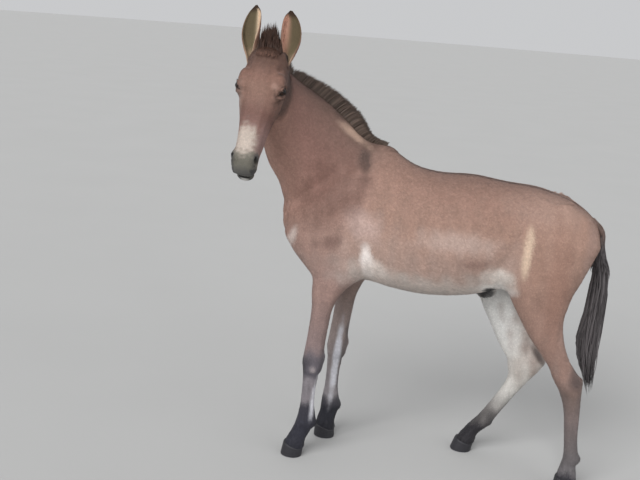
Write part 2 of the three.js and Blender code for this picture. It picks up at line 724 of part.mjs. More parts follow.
/** The head as cast, before its eyes, nostrils and mouth are cut. `swell` grows the surface. */
function castHead(swell) {
  const axis = headDirection(1, 0, 0);
  const side = headDirection(0, 1, 0);
  const middleAt = (along) => {
    const row = headBody.profile.read(along);
    return headPoint(along, row.middle + HEAD_SPINE_LIFT * row.deep, 0);
  };
  const body = steps(HEAD_SPINE_TOP, HEAD_SPINE_LOW, HEAD_RINGS - 2 * HEAD_DOME).map((along) => (
    { origin: middleAt(along), axis, side }
  ));
  const rings = [
    ...domeRings(body[0], HEAD_DOME, -1),
    ...body,
    ...domeRings(body[body.length - 1], HEAD_DOME, 1),
  ];
  const inside = (p) => bodyDistance(p) < swell && napeCut.distanceToPoint(p) > -NAPE_OVERRUN;
  const top = castRay(body[0].origin, axis.clone().negate(), inside);
  const chin = castRay(body[body.length - 1].origin, axis, inside);
  return trimTo(toSolid(skinRings(castRings(rings, HEAD_SEGMENTS, inside), top, chin)), napeCut, 1);
}

/** Closes a bent sheet: its outer and inner faces are grids of points, joined along all four edges. */
function skinSheet(outer, inner) {
  const rows = outer.length;
  const columns = outer[0].length;
  const points = [...outer.flat(), ...inner.flat()];
  const at = (face, row, column) => face * rows * columns + row * columns + column;
  const triangles = [];
  const quad = (a, b, c, d) => triangles.push(a, b, c, b, d, c);
  for (let row = 0; row < rows - 1; row += 1) {
    for (let column = 0; column < columns - 1; column += 1) {
      quad(at(0, row, column), at(0, row, column + 1), at(0, row + 1, column), at(0, row + 1, column + 1));
      quad(at(1, row, column + 1), at(1, row, column), at(1, row + 1, column + 1), at(1, row + 1, column));
    }
    const edge = columns - 1;
    quad(at(1, row, 0), at(0, row, 0), at(1, row + 1, 0), at(0, row + 1, 0));
    quad(at(0, row, edge), at(1, row, edge), at(0, row + 1, edge), at(1, row + 1, edge));
  }
  const tip = rows - 1;
  for (let column = 0; column < columns - 1; column += 1) {
    quad(at(1, 0, column), at(1, 0, column + 1), at(0, 0, column), at(0, 0, column + 1));
    quad(at(0, tip, column), at(0, tip, column + 1), at(1, tip, column), at(1, tip, column + 1));
  }
  return meshFrom(points, triangles);
}

const EAR_ROWS = 10;
const EAR_COLUMNS = 8;
const EAR_ROOT = { along: 22, out: -55, ear_left: -49, ear_right: 60 };
const EAR_LEAN = { ear_left: 0.12, ear_right: 0.13 };
const EAR_BOW = { ear_left: 9, ear_right: 11 };
const EAR = [
  { at: 0, width: 0.48, depth: 14, wrap: 2.4, thick: 5 },
  { at: 0.2, width: 0.76, depth: 18, wrap: 2.2, thick: 4.6 },
  { at: 0.45, width: 1, depth: 17, wrap: 1.9, thick: 4 },
  { at: 0.7, width: 0.95, depth: 13, wrap: 1.65, thick: 3.4 },
  { at: 0.88, width: 0.66, depth: 8, wrap: 1.45, thick: 2.8 },
  { at: 1, width: 0.12, depth: 2.4, wrap: 1.3, thick: 1.8 },
];
const earProfile = new Profile(EAR);

/** An ear as a bent, pointed cup that opens forwards and outwards, thicker all round by `margin`. */
function makeEarSheet(name, margin) {
  const sign = name === 'ear_left' ? -1 : 1;
  const root = headPoint(EAR_ROOT.along, EAR_ROOT.out, EAR_ROOT[name]);
  const rise = headDirection(-0.98, -0.02, EAR_LEAN[name]);
  const open = headDirection(-0.1, 0.94, sign * 0.36);
  open.addScaledVector(rise, -open.dot(rise)).normalize();
  const across = rise.clone().cross(open);
  const aside = headDirection(0, 0, sign);
  const overshoot = margin / EAR_LENGTH;
  const face = (inset) => steps(-overshoot, 1 + overshoot, EAR_ROWS).map((share) => {
    const row = earProfile.read(share);
    const inwards = inset * (row.thick + 2 * margin) - margin;
    const width = Math.max(row.width * EAR_HALF_WIDTH - inwards, 0.4);
    const depth = Math.max(row.depth - inwards, 0.3);
    const wrap = row.wrap + margin / EAR_HALF_WIDTH;
    const middle = root.clone().addScaledVector(rise, share * EAR_LENGTH);
    const bulge = Math.sin(share * Math.PI);
    middle.addScaledVector(open, -EAR_BACK * bulge).addScaledVector(aside, EAR_BOW[name] * bulge);
    return steps(-wrap, wrap, EAR_COLUMNS).map((angle) => (
      middle.clone().addScaledVector(across, Math.sin(angle) * width).addScaledVector(open, -Math.cos(angle) * depth)
    ));
  });
  return orient(skinSheet(face(0), face(1)));
}

/** Makes a solid from a geometry whose faces may all point inwards. */
function orient(geometry) {
  const solid = toSolid(geometry);
  if (solid.volume() > 0) {
    return solid;
  }
  const index = geometry.index.array;
  const flipped = [];
  for (let corner = 0; corner < index.length; corner += 3) {
    flipped.push(index[corner], index[corner + 2], index[corner + 1]);
  }
  const turned = geometry.clone();
  turned.setIndex(flipped);
  return toSolid(turned);
}

const BALL_FORWARD = 4.2;
const APERTURE_LONG = 17.5;
const APERTURE_HIGH = 10;

/** The frame of an eye: its centre, where it looks, and the line between its corners. */
function eyeFrame(sign) {
  const look = headDirection(0.04, 0.46, sign * 0.88);
  const centre = headPoint(ORBIT[0], ORBIT[1], sign * ORBIT[2]).addScaledVector(look, BALL_FORWARD);
  const corners = headDirection(0.8, 0.6, 0);
  corners.addScaledVector(look, -corners.dot(look)).normalize();
  return new THREE.Matrix4().makeBasis(corners, look.clone().cross(corners), look).setPosition(centre);
}

/** The almond outline between the lids, `margin` wider all round. */
function almond(margin) {
  const long = APERTURE_LONG + margin;
  const high = APERTURE_HIGH + margin;
  const shape = new THREE.Shape();
  shape.moveTo(-long, 0);
  shape.bezierCurveTo(-long * 0.6, high * 1.3, long * 0.5, high * 1.25, long, -high * 0.12);
  shape.bezierCurveTo(long * 0.5, -high * 1.15, -long * 0.5, -high * 1.2, -long, 0);
  return shape;
}

/** The rim of the lids: a tube that follows the almond over the ball, thicker on the upper lid. */
function makeLidRim(frame) {
  const outline = almond(1.6).getPoints(LID_STEPS / 2).slice(0, LID_STEPS);
  const centre = new THREE.Vector3(0, 0, 0);
  const rings = outline.map((point, index) => {
    const height = Math.sqrt(Math.max((EYE_RADIUS + 1.4) ** 2 - point.lengthSq(), 4));
    const middle = new THREE.Vector3(point.x, point.y, height);
    const next = outline[(index + 1) % outline.length];
    const previous = outline[(index + outline.length - 1) % outline.length];
    const tangent = new THREE.Vector3(next.x - previous.x, next.y - previous.y, 0).normalize();
    const outward = middle.clone().sub(centre).normalize();
    const aside = tangent.clone().cross(outward).normalize();
    const thick = point.y * Math.sign(frame.determinant()) > 0 ? 3.1 : 2.3;
    return Array.from({ length: 6 }, (unused, corner) => {
      const angle = corner / 6 * Math.PI * 2;
      return middle.clone().addScaledVector(outward, Math.cos(angle) * thick)
        .addScaledVector(aside, Math.sin(angle) * thick);
    });
  });
  const count = rings.length;
  const triangles = [];
  rings.forEach((ring, row) => ring.forEach((unused, column) => {
    const a = row * 6 + column;
    const b = row * 6 + (column + 1) % 6;
    const c = ((row + 1) % count) * 6 + column;
    const d = ((row + 1) % count) * 6 + (column + 1) % 6;
    triangles.push(a, b, c, b, d, c);
  }));
  return orient(meshFrom(rings.flat(), triangles).applyMatrix4(frame));
}

const LID_STEPS = 18;
const BALL_ACROSS = 14;
const BALL_DOWN = 10;

/** A ball at an eye's place. */
function makeBall(frame, radius) {
  const ball = new THREE.SphereGeometry(radius, BALL_ACROSS, BALL_DOWN);
  ball.applyMatrix4(frame);
  return orient(weld(ball));
}

/** A geometry with its doubled vertices made one and its needless attributes gone. */
function weld(geometry) {
  const bare = new THREE.BufferGeometry();
  bare.setAttribute('position', geometry.getAttribute('position').clone());
  if (geometry.index) {
    bare.setIndex(geometry.index.clone());
  }
  const merged = mergeVertices(bare, 1e-4);
  const index = merged.index.array;
  const kept = [];
  for (let corner = 0; corner < index.length; corner += 3) {
    const [a, b, c] = [index[corner], index[corner + 1], index[corner + 2]];
    if (a !== b && b !== c && c !== a) {
      kept.push(a, b, c);
    }
  }
  merged.setIndex(kept);
  return merged;
}

/** The space of the eye and of the opening between its lids. */
function makeSocket(frame) {
  const opening = new THREE.ExtrudeGeometry(almond(0), { depth: 2 * EYE_RADIUS, bevelEnabled: false, curveSegments: 7 });
  opening.applyMatrix4(frame);
  return makeBall(frame, EYE_RADIUS + GAP).add(orient(weld(opening)));
}

/** A nostril: a slanted oval hollow that runs in from the side of the muzzle. */
function makeNostril(sign) {
  const inward = headDirection(-0.5, -0.42, -sign * 0.76);
  const slant = headDirection(0.72, -0.62, sign * 0.2);
  slant.addScaledVector(inward, -slant.dot(inward)).normalize();
  const mouth = castRay(headPoint(NOSTRIL.along, NOSTRIL.out, sign * 14), headDirection(0.1, 0.25, sign * 0.96),
    (p) => bodyDistance(p) < 0);
  const hollow = new THREE.SphereGeometry(1, 14, 10);
  hollow.scale(NOSTRIL.long, NOSTRIL.narrow, NOSTRIL.deep);
  hollow.applyMatrix4(new THREE.Matrix4().makeBasis(slant, inward.clone().cross(slant), inward).setPosition(mouth));
  return orient(weld(hollow));
}

const NOSTRIL = { along: 340, out: -34, long: 15, narrow: 7, deep: 17 };
const MOUTH = { front: [384, -77], corner: [334, -88], open: 2.4, inset: 7 };

/** The line of the mouth: a thin flat slot that runs in from the lips as far back as their corners. */
function makeMouthSlot() {
  const back = new THREE.Vector2(MOUTH.corner[0] - MOUTH.front[0], MOUTH.corner[1] - MOUTH.front[1]);
  const reach = back.length();
  const shape = new THREE.Shape();
  shape.moveTo(-30, -70);
  shape.lineTo(reach, -70);
  shape.lineTo(reach + 4, -34);
  shape.lineTo(reach * 0.5, -29);
  shape.quadraticCurveTo(MOUTH.inset + 1, -26, MOUTH.inset, 0);
  shape.quadraticCurveTo(MOUTH.inset + 1, 26, reach * 0.5, 29);
  shape.lineTo(reach + 4, 34);
  shape.lineTo(reach, 70);
  shape.lineTo(-30, 70);
  const slot = new THREE.ExtrudeGeometry(shape, { depth: MOUTH.open, bevelEnabled: false, curveSegments: 5 });
  slot.translate(0, 0, -MOUTH.open / 2);
  const along = headDirection(back.x, back.y, 0);
  const across = headDirection(0, 0, 1);
  const place = headPoint(MOUTH.front[0], MOUTH.front[1], 0);
  slot.applyMatrix4(new THREE.Matrix4().makeBasis(along, across, along.clone().cross(across)).setPosition(place));
  return orient(weld(slot));
}

/** The middle of some points. */
function centroid(points) {
  return points.reduce((sum, point) => sum.add(point), new THREE.Vector3()).divideScalar(points.length);
}

/** A point a given way from another. */
function offset(point, ...moves) {
  return moves.reduce((moved, [direction, length]) => moved.addScaledVector(direction, length), point.clone());
}

/** A repeatable stream of numbers between -1 and 1. */
function makeWobble(seed) {
  let state = seed;
  return () => {
    state = (state * 16807) % 2147483647;
    return state / 1073741823.5 - 1;
  };
}

// A lock's breadth along its length, as shares of its full breadth.
const LOCK_SHAPE = [[0, 0.78], [0.36, 1], [0.7, 0.74], [0.95, 0.2]];

/** A flat, tapered lock of hair that follows a curve; its broad side lies along `broad`. */
function makeLock(curve, broad, width, thick) {
  const rings = LOCK_SHAPE.map(([share, breadth]) => {
    const middle = curve.getPoint(share);
    const tangent = curve.getTangent(share);
    const across = offset(broad, [tangent, -broad.dot(tangent)]).normalize();
    const normal = tangent.clone().cross(across);
    const half = width * breadth / 2;
    const deep = thick * breadth / 2;
    return [[across, half], [normal, deep], [across, -half], [normal, -deep]].map((move) => offset(middle, move));
  });
  return orient(skinRings(rings, centroid(rings[0]), curve.getPoint(1)));
}

/** A curve that leaves a root one way and bends over another way by its end. */
function bentCurve(root, rise, bend, length) {
  const middle = offset(root, [rise.clone().normalize(), length / 2]);
  return new THREE.QuadraticBezierCurve3(root, middle, offset(middle, [bend.clone().normalize(), length / 2]));
}

/** Joins solids into one. */
function joinAll(solids) {
  return solids.reduce((joined, solid) => joined.add(solid));
}

// The mane: two rows of short upright locks on a low ridge, from the withers up to the poll.
const MANE = { from: 838, to: 1190, spacing: 28, width: 37, thick: 8, sink: 15, backward: 0.42 };
const MANE_ROWS = [{ aside: 5, lean: 0.22 }, { aside: -6, lean: -0.42 }];
const MANE_RIDGE = { half: 9, root: 14, height: 17 };
const MANE_POLL = [[4, -166], [0, -142], [-4, -118]];

/** Height of the mane above the crest, at a share of the way from the withers to the poll. */
function maneHeight(share) {
  return lerp(lerp(34, 52, THREE.MathUtils.smoothstep(share, 0, 0.08)), 55, share);
}

/** Where the crest of the neck is at a distance along the neck, and which way it faces. */
function crestPoint(at) {
  const row = neckBody.profile.read(at);
  const out = offset(NECK_REAR.clone().multiplyScalar(Math.cos(row.twist)), [LEFT_TO_RIGHT, Math.sin(row.twist)]);
  return { point: castRay(neckMiddle(at), out, (p) => bodyDistance(p) < 0), out };
}

/** The line of the mane along the crest and over the nape, and which way it faces along that line. */
function makeManeLine() {
  const crest = steps(MANE.from, MANE.to, 9).map(crestPoint);
  const pollOut = headDirection(-1, -0.25, 0);
  const poll = MANE_POLL.map(([along, out]) => {
    const start = headPoint(along + 50, out + 20, 0);
    return { point: castRay(start, headDirection(-1, -0.2, 0), (p) => bodyDistance(p) < 0), out: pollOut };
  });
  const marks = [...crest, ...poll];
  return {
    curve: new THREE.CatmullRomCurve3(marks.map(({ point }) => point)),
    facing: new THREE.CatmullRomCurve3(marks.map(({ out }) => out)),
  };
}

const maneLine = makeManeLine();
const maneParting = steps(0, 1, 101).find((share) => napeCut.distanceToPoint(maneLine.curve.getPoint(share)) > 0);

/** The crest at a share of the mane's line, with the directions there. */
function crestAt(share) {
  const point = maneLine.curve.getPoint(share);
  const along = maneLine.curve.getTangent(share);
  const out = maneLine.facing.getPoint(share);
  out.addScaledVector(along, -out.dot(along)).normalize();
  return { point, out, along, aside: along.clone().cross(out).normalize() };
}

/** The low ridge that the mane's locks stand on. */
function makeManeRidge() {
  const rings = steps(0.01, 0.99, 13).map((share) => {
    const { point, out, aside } = crestAt(share);
    const { half, root, height } = MANE_RIDGE;
    return [[[aside, half], [out, -root]], [[aside, 2], [out, height]], [[aside, -2], [out, height]],
      [[aside, -half], [out, -root]]].map((moves) => offset(point, ...moves));
  });
  return orient(skinRings(rings, centroid(rings[0]), centroid(rings[rings.length - 1])));
}

/** The locks of the mane between two shares of its line. They lie back, and stand up at the poll. */
function makeManeLocks(from, to, seed) {
  const wobble = makeWobble(seed);
  const count = Math.round(maneLine.curve.getLength() * (to - from) / MANE.spacing);
  return MANE_ROWS.flatMap((row, rowIndex) => Array.from({ length: count }, (unused, index) => {
    const share = lerp(from, to, (index + 0.5 * rowIndex + 0.3 + 0.15 * wobble()) / (count + 0.3));
    const { point, out, along, aside } = crestAt(share);
    const backward = from > 0 ? -0.1 : MANE.backward;
    const root = offset(point, [out, -MANE.sink], [aside, row.aside]);
    const rise = offset(out, [along, -0.12 * backward], [aside, row.lean * 0.3]);
    const bend = offset(out, [along, -backward * (1.3 + 0.4 * wobble())], [aside, row.lean + 0.1 * wobble()]);
    const length = (maneHeight(share) + MANE.sink) * (1.04 + 0.07 * wobble());
    return makeLock(bentCurve(root, rise, bend, length), along, MANE.width * (1 + 0.12 * wobble()), MANE.thick);
  }));
}

// The forelock: rows of upright locks between the ears on a low mound, and a front row on the forehead.
const FORELOCK_ROWS = [
  { out: -100, count: 4, spread: 24, length: 86, forward: -0.06 },
  { out: -74, count: 4, spread: 30, length: 112, forward: 0.06 },
  { out: -48, count: 4, spread: 32, length: 98, forward: 0.2 },
];
const FORELOCK_FRONT = { out: -22, along: 0, count: 5, spread: 31, length: 56 };
const FORELOCK = { width: 26, thick: 17, root: 10, middle: 0, lean: 0.12 };
const FORELOCK_MOUND = [[30, 30, 38, 4], [2, 38, 36, 5], [-18, 30, 26, 8], [-32, 12, 10, 10]];

/** The mound under the forelock's locks, half as high as they are. */
function makeForelockMound() {
  const rings = FORELOCK_MOUND.map(([along, deep, half, middle]) => Array.from({ length: 10 }, (unused, index) => {
    const angle = index / 10 * Math.PI * 2;
    return headPoint(along, -72 + Math.cos(angle) * deep, middle + Math.sin(angle) * half);
  }));
  return orient(skinRings(rings, centroid(rings[0]), centroid(rings[rings.length - 1])));
}

/** The locks of the forelock. */
function makeForelockLocks() {
  const wobble = makeWobble(5);
  const across = headDirection(0, 0, 1);
  const upright = FORELOCK_ROWS.flatMap((row) => steps(-1, 1, row.count).map((place) => {
    const side = FORELOCK.middle + place * row.spread + 2 * wobble();
    const root = headPoint(FORELOCK.root, row.out + 3 * wobble(), side);
    const sideways = FORELOCK.lean + place * -0.1 + 0.06 * wobble();
    const rise = headDirection(-1, row.forward * 0.4, sideways * 0.5);
    const bend = headDirection(-1, row.forward * 1.6 + 0.12 * wobble(), sideways * 1.3);
    const length = row.length * (1 - 0.32 * place * place + 0.06 * wobble());
    return makeLock(bentCurve(root, rise, bend, length), across, FORELOCK.width, FORELOCK.thick);
  }));
  const front = steps(-1, 1, FORELOCK_FRONT.count).map((place) => {
    const side = FORELOCK.middle + place * FORELOCK_FRONT.spread + 2 * wobble();
    const root = headPoint(FORELOCK_FRONT.along, FORELOCK_FRONT.out - 14, side);
    const rise = headDirection(-0.45, 1, place * 0.2);
    const bend = headDirection(1, 0.1, place * -0.1 + 0.1 * wobble());
    const length = FORELOCK_FRONT.length * (1 - 0.15 * place * place + 0.08 * wobble());
    return makeLock(bentCurve(root, rise, bend, length), across, FORELOCK.width, FORELOCK.thick * 0.6);
  });
  return [...upright, ...front];
}

// The tail's outline by height: its front and rear edges in side view, and its half width.
const TAIL = [
  { at: TAIL_TIP, low: 956, high: 969, half: 6, centre: 0 },
  { at: 340, low: 938, high: 969, half: 15, centre: 0 },
  { at: 400, low: 916, high: 969, half: 25, centre: 0 },
  { at: 480, low: 886, high: 968, half: 34, centre: 0 },
  { at: 560, low: 891, high: 967, half: 35, centre: 0 },
  { at: 640, low: 899, high: 965, half: 32, centre: 0 },
  { at: 700, low: 898, high: 963, half: 28, centre: 0 },
  { at: 755, low: 898, high: 958, half: 25, centre: 0 },
  { at: 800, low: 902, high: 940, half: 20, centre: 0 },
  { at: 840, low: 903, high: 929, half: 18, centre: 0 },
  { at: 880, low: 893, high: 926, half: 19, centre: 0 },
  { at: 905, low: 878, high: 914, half: 20, centre: 0 },
  { at: 925, low: 866, high: 896, half: 17, centre: 0 },
];
const TAIL_CORE = { foot: 570, segments: 10, rings: 9 };
const TAIL_LOCKS = { top: 824, bottom: 600, levels: 4, around: 4, width: 40, thick: 12, lengths: [330, 300] };
const tailProfile = new Profile(TAIL);

/** A point of the tail at a height and an angle, at a share of the way from its middle to its outline. */
function tailPoint(height, angle, share) {
  const row = tailProfile.read(height);
  const middle = (row.low + row.high) / 2;
  const deep = (row.high - row.low) / 2;
  return new THREE.Vector3(middle + Math.cos(angle) * deep * share, Math.sin(angle) * row.half * share, height);
}

/** The dock and the inner part of the switch, which ends half way down the locks. */
function makeTailCore() {
  const { foot, segments, rings: count } = TAIL_CORE;
  const rings = steps(0, 1, count).map((share) => {
    const height = lerp(925, foot, share);
    const inner = lerp(1, 0.25, THREE.MathUtils.smoothstep(height, foot, 800) * -1 + 1);
    return Array.from({ length: segments }, (unused, index) => (
      tailPoint(height, index / segments * Math.PI * 2, inner)
    ));
  });
  return orient(skinRings(rings, centroid(rings[0]), centroid(rings[count - 1])));
}

/** The locks of the tail, which hang down and draw together towards its tip. */
function makeTailLocks() {
  const wobble = makeWobble(29);
  const { top, bottom, levels, around, width, thick, lengths } = TAIL_LOCKS;
  return steps(0, 1, levels).flatMap((share, level) => Array.from({ length: around }, (unused, index) => {
    const angle = (index + 0.5 * (level % 2) + 0.15 * wobble()) / around * Math.PI * 2;
    const height = lerp(top, bottom, share) + 8 * wobble();
    const length = lerp(...lengths, share) * (1 + 0.09 * wobble());
    const foot = Math.max(height - length, TAIL_TIP + 4 * (wobble() + 1));
    const points = [[height, 0.4], [lerp(height, foot, 0.3), 0.86], [lerp(height, foot, 0.65), 0.9], [foot, 0.8]];
    const curve = new THREE.CatmullRomCurve3(points.map(([at, inner]) => tailPoint(at, angle, inner)));
    const broad = new THREE.Vector3(-Math.sin(angle), Math.cos(angle), 0);
    return makeLock(curve, broad, width * (1 + 0.15 * wobble()), thick);
  }));
}

/** Adds a solid to the model as a named mesh with its own material. */
function addPart(group, name, solid, colour, roughness) {
  const material = new THREE.MeshStandardMaterial({ color: colour, roughness, metalness: 0 });
  const mesh = new THREE.Mesh(toGeometry(solid), material);
  mesh.name = name;
  group.add(mesh);
}

const group = new THREE.Group();
const trunk = makeTrunk(0);
const trunkSpace = makeTrunk(GAP);
const headSpace = castHead(GAP);
const eyeFrames = { eye_left: eyeFrame(-1), eye_right: eyeFrame(1) };

/** The head with its lids, eye sockets, nostrils, mouth and forelock. */
function makeHead() {
  const hair = [makeForelockMound(), ...makeForelockLocks(), ...makeManeLocks(maneParting, 1, 17)];
  let forelock = trimTo(joinAll(hair), napeCut, 1);
  for (const name of Object.keys(EAR_LEAN)) {
    forelock = forelock.subtract(makeEarSheet(name, 2 * GAP));
  }
  const rims = Object.values(eyeFrames).map(makeLidRim);
  const hollows = [...Object.values(eyeFrames).map(makeSocket), makeNostril(-1), makeNostril(1), makeMouthSlot()];
  const head = joinAll([castHead(0), forelock, ...rims]);
  return largestPiece(hollows.reduce((rest, hollow) => rest.subtract(hollow), head));
}

/** The neck with its mane. */
function makeNeck() {
  const mane = joinAll([makeManeRidge(), ...makeManeLocks(0, maneParting, 11)]);
  return largestPiece(makeNeckFlesh().add(trimTo(trimTo(mane, neckCut, 1), napeCut, -1)));
}

/** The tail, parted from the trunk at its root. */
function makeTail() {
  return largestPiece(joinAll([makeTailCore(), ...makeTailLocks()]).subtract(trunkSpace));
}

addPart(group, 'torso', trunk, COAT_TAN, 0.8);
addPart(group, 'neck', makeNeck(), COAT_RED, 0.8);
addPart(group, 'head', makeHead(), COAT_RED, 0.8);
for (const name of Object.keys(EAR_LEAN)) {
  addPart(group, name, largestPiece(makeEarSheet(name, 0).subtract(headSpace)), EAR_CUP, 0.8);
}
for (const [name, frame] of Object.entries(eyeFrames)) {
  addPart(group, name, makeBall(frame, EYE_RADIUS), EYE_DARK, 0.15);
}
for (const name of Object.keys(limbTables)) {
  addPart(group, name, makeLimb(name), COAT_DARK, 0.8);
  addPart(group, name.replace('foreleg', 'forehoof').replace('hindleg', 'hindhoof'), makeHoof(name), HORN, 0.6);
}
addPart(group, 'tail', makeTail(), HAIR_DARK, 0.7);

const bounds = new THREE.Box3().setFromObject(group);
group.position.set(-(bounds.min.x + bounds.max.x) / 2, -(bounds.min.y + bounds.max.y) / 2, -bounds.min.z);

export default group;
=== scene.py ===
"""Young mule, standing with its head turned to its left: skin, coat, mane, tail, ears, eyes and hooves."""
import logging
import math
from dataclasses import dataclass
from enum import Enum
from typing import Callable, Optional, Sequence

import bmesh
import bpy
import numpy as np
from mathutils import Matrix, Vector


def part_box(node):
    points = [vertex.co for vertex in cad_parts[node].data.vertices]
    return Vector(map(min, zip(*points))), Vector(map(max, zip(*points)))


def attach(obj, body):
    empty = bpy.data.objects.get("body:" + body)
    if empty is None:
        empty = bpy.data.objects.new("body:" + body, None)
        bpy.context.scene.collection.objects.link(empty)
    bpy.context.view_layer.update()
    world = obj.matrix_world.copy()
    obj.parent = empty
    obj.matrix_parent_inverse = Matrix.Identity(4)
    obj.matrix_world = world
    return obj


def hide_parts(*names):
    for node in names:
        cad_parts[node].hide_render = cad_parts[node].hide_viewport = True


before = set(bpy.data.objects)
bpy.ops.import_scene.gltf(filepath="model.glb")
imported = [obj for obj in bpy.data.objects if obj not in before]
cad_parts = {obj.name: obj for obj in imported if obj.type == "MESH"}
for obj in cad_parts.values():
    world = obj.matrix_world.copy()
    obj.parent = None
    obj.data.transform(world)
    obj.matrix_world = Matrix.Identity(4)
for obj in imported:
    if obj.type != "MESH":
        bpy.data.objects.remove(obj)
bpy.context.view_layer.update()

LOG = logging.getLogger("young_mule")
Array = np.ndarray
Colour = tuple[float, float, float]
BODY = "root"
MM = 0.001

# Anchors that this file shares with the part's source, in millimetres of the body's own frame.
FORE_TOE_X = -70.0
FORE_STANCE = 98.0
RIGHT_FORE_STANCE = 70.0
HIND_STANCE = 99.0
HOOF_TOP = 48.0
EYE_RADIUS = 18.0
ORBIT = (121, -31, 54)
# Beyond this distance from a body its exact shape no longer matters.
FAR = 120.0
# How far round an eye its lids reach.
LID_REACH = 34.0
# Side of the spot that a tuft or lock takes on the flat layout for baking.
BAKE_SPOT = 0.003
# Where the coat of the shoulders ends and that of the flanks begins, and where the legs' coat ends.
FLANK_START = 345.0
LEG_TOP = 700.0
# Where the toe of each hoof stands.
HOOF_TOES = {
    "foreleg_left": FORE_TOE_X, "foreleg_right": 26.0, "hindleg_left": 866.0, "hindleg_right": 526.0,
}

# Trunk sections: at, low, high, half, lean.
TRUNK = (
    (-112, 800, 852, 24, 0), (-100, 764, 888, 64, 0), (-70, 712, 925, 102, -0.1),
    (-20, 672, 985, 122, -0.2), (60, 650, 1038, 132, -0.3), (140, 642, 1070, 140, -0.42),
    (199, 636, 1085, 150, -0.42),
    (288, 624, 1046, 168, -0.3), (371, 618, 1029, 178, -0.2), (487, 628, 1030, 178, -0.15),
    (588, 655, 1018, 164, -0.1), (689, 700, 1008, 146, -0.05), (768, 735, 987, 138, -0.1),
    (831, 765, 962, 116, -0.1), (880, 800, 925, 74, 0), (903, 835, 885, 28, 0),
)
# Neck sections: at, middle, deep, centre, half, lean, twist.
NECK = (
    (740, 535, 184, 0, 98, -0.3, 0), (820, 528, 175, -6, 94, -0.35, 0.05),
    (886, 527, 160, -14, 86, -0.4, 0.1), (960, 521, 150, -32, 76, -0.4, 0.25),
    (1040, 521, 130, -58, 68, -0.38, 0.5), (1110, 521, 113, -86, 62, -0.3, 0.85),
    (1184, 520, 97, -114, 53, -0.2, 1.25), (1235, 512, 78, -124, 43, -0.1, 1.4),
)
# Head sections down the face: at, low, high, half, lean.
HEAD = (
    (-14, -95, -38, 30, 0), (0, -125, -16, 46, 0), (25, -150, -3, 59, 0.05), (60, -166, 5, 66, 0.12),
    (95, -172, 7, 70, 0.18), (130, -168, 4, 67, 0.2), (165, -153, -2, 60, 0.2), (200, -134, -7, 53, 0.15),
    (240, -115, -11, 46, 0.1), (280, -101, -14, 40.5, 0.05), (315, -94, -15, 38, 0.05),
    (345, -90, -17, 38, 0), (365, -84, -24, 36, 0), (380, -74, -38, 30, 0),
)
# Limb sections by height: at, front, rear, half.
FORELEG = (
    (14, -66, 14, 30), (52, -57, 13, 30), (80, -45, 22, 26), (105, -34, 33, 25), (135, -25, 45, 29),
    (160, -20, 42, 26), (200, -15, 36, 21), (250, -13, 36, 21), (300, -13, 42, 26), (335, -15, 53, 34),
    (370, -16, 55, 35), (420, -11, 56, 32), (480, -5, 62, 33), (550, -1, 72, 37), (600, -5, 94, 41),
    (657, -10, 136, 47), (700, -40, 152, 52), (745, -76, 156, 57), (800, -90, 160, 59), (860, -50, 165, 57),
    (940, 20, 165, 48), (1000, 70, 150, 34),
)
LEFT_HINDLEG = (
    (14, 868, 946, 30), (50, 874, 941, 30), (75, 878, 938, 27), (98, 883, 934, 27), (122, 886, 940, 30),
    (150, 884, 932, 26), (200, 877, 924, 23), (281, 864, 919, 23), (320, 853, 916, 27), (351, 842, 914, 32),
    (380, 822, 911, 36), (405, 807, 903, 34), (435, 792, 880, 31), (467, 768, 858, 32), (532, 716, 832, 41),
    (600, 672, 822, 52), (657, 638, 832, 61), (700, 621, 846, 69), (749, 613, 864, 77), (816, 622, 890, 82),
    (860, 632, 900, 82), (930, 660, 858, 68), (975, 700, 800, 42),
)
RIGHT_HINDLEG = (
    (14, 528, 608, 30), (50, 548, 614, 30), (68, 558, 619, 27), (88, 571, 633, 27), (112, 590, 656, 30),
    (139, 611, 672, 27), (195, 643, 706, 23), (266, 681, 750, 24), (307, 694, 778, 29), (340, 692, 802, 35),
    (372, 682, 818, 36), (399, 664, 810, 34), (434, 641, 790, 35), (497, 607, 768, 43), (574, 566, 758, 53),
    (620, 550, 774, 60), (657, 542, 798, 66), (720, 546, 836, 75), (780, 562, 860, 81), (850, 592, 885, 82),
    (930, 640, 855, 68), (975, 690, 800, 42),
)
LIMBS = ("foreleg_left", "foreleg_right", "hindleg_left", "hindleg_right")


class Region(Enum):
    """The parts of the skin that the unwrap and the coat are laid out by."""

    TRUNK = 0
    NECK = 1
    HEAD = 2
    FORELEG_LEFT = 3
    FORELEG_RIGHT = 4
    HINDLEG_LEFT = 5
    HINDLEG_RIGHT = 6


def smooth(start: float, end: float, value: Array) -> Array:
    """Eases from 0 at start to 1 at end.

    Args:
        start: where the ease begins.
        end: where it is complete; it may lie below start.
        value: the values to ease.

    Returns:
        Numbers between 0 and 1.
    """
    share = np.clip((np.asarray(value, float) - start) / (end - start), 0, 1)
    return share * share * (3 - 2 * share)


def unit(vectors: Array) -> Array:
    """Vectors of length one, along the last axis."""
    vectors = np.asarray(vectors, float)
    return vectors / np.maximum(np.linalg.norm(vectors, axis=-1, keepdims=True), 1e-12)


def even_turns(count: int) -> Array:
    """Even angles round a circle."""
    return np.arange(count) / count * 2 * math.pi


def blend_near(first: Array, second: Array, width: float) -> Array:
    """Runs two distances together over a width, as the part's source does."""
    share = np.maximum(width - np.abs(first - second), 0) / width
    return np.minimum(first, second) - share * share * width / 4


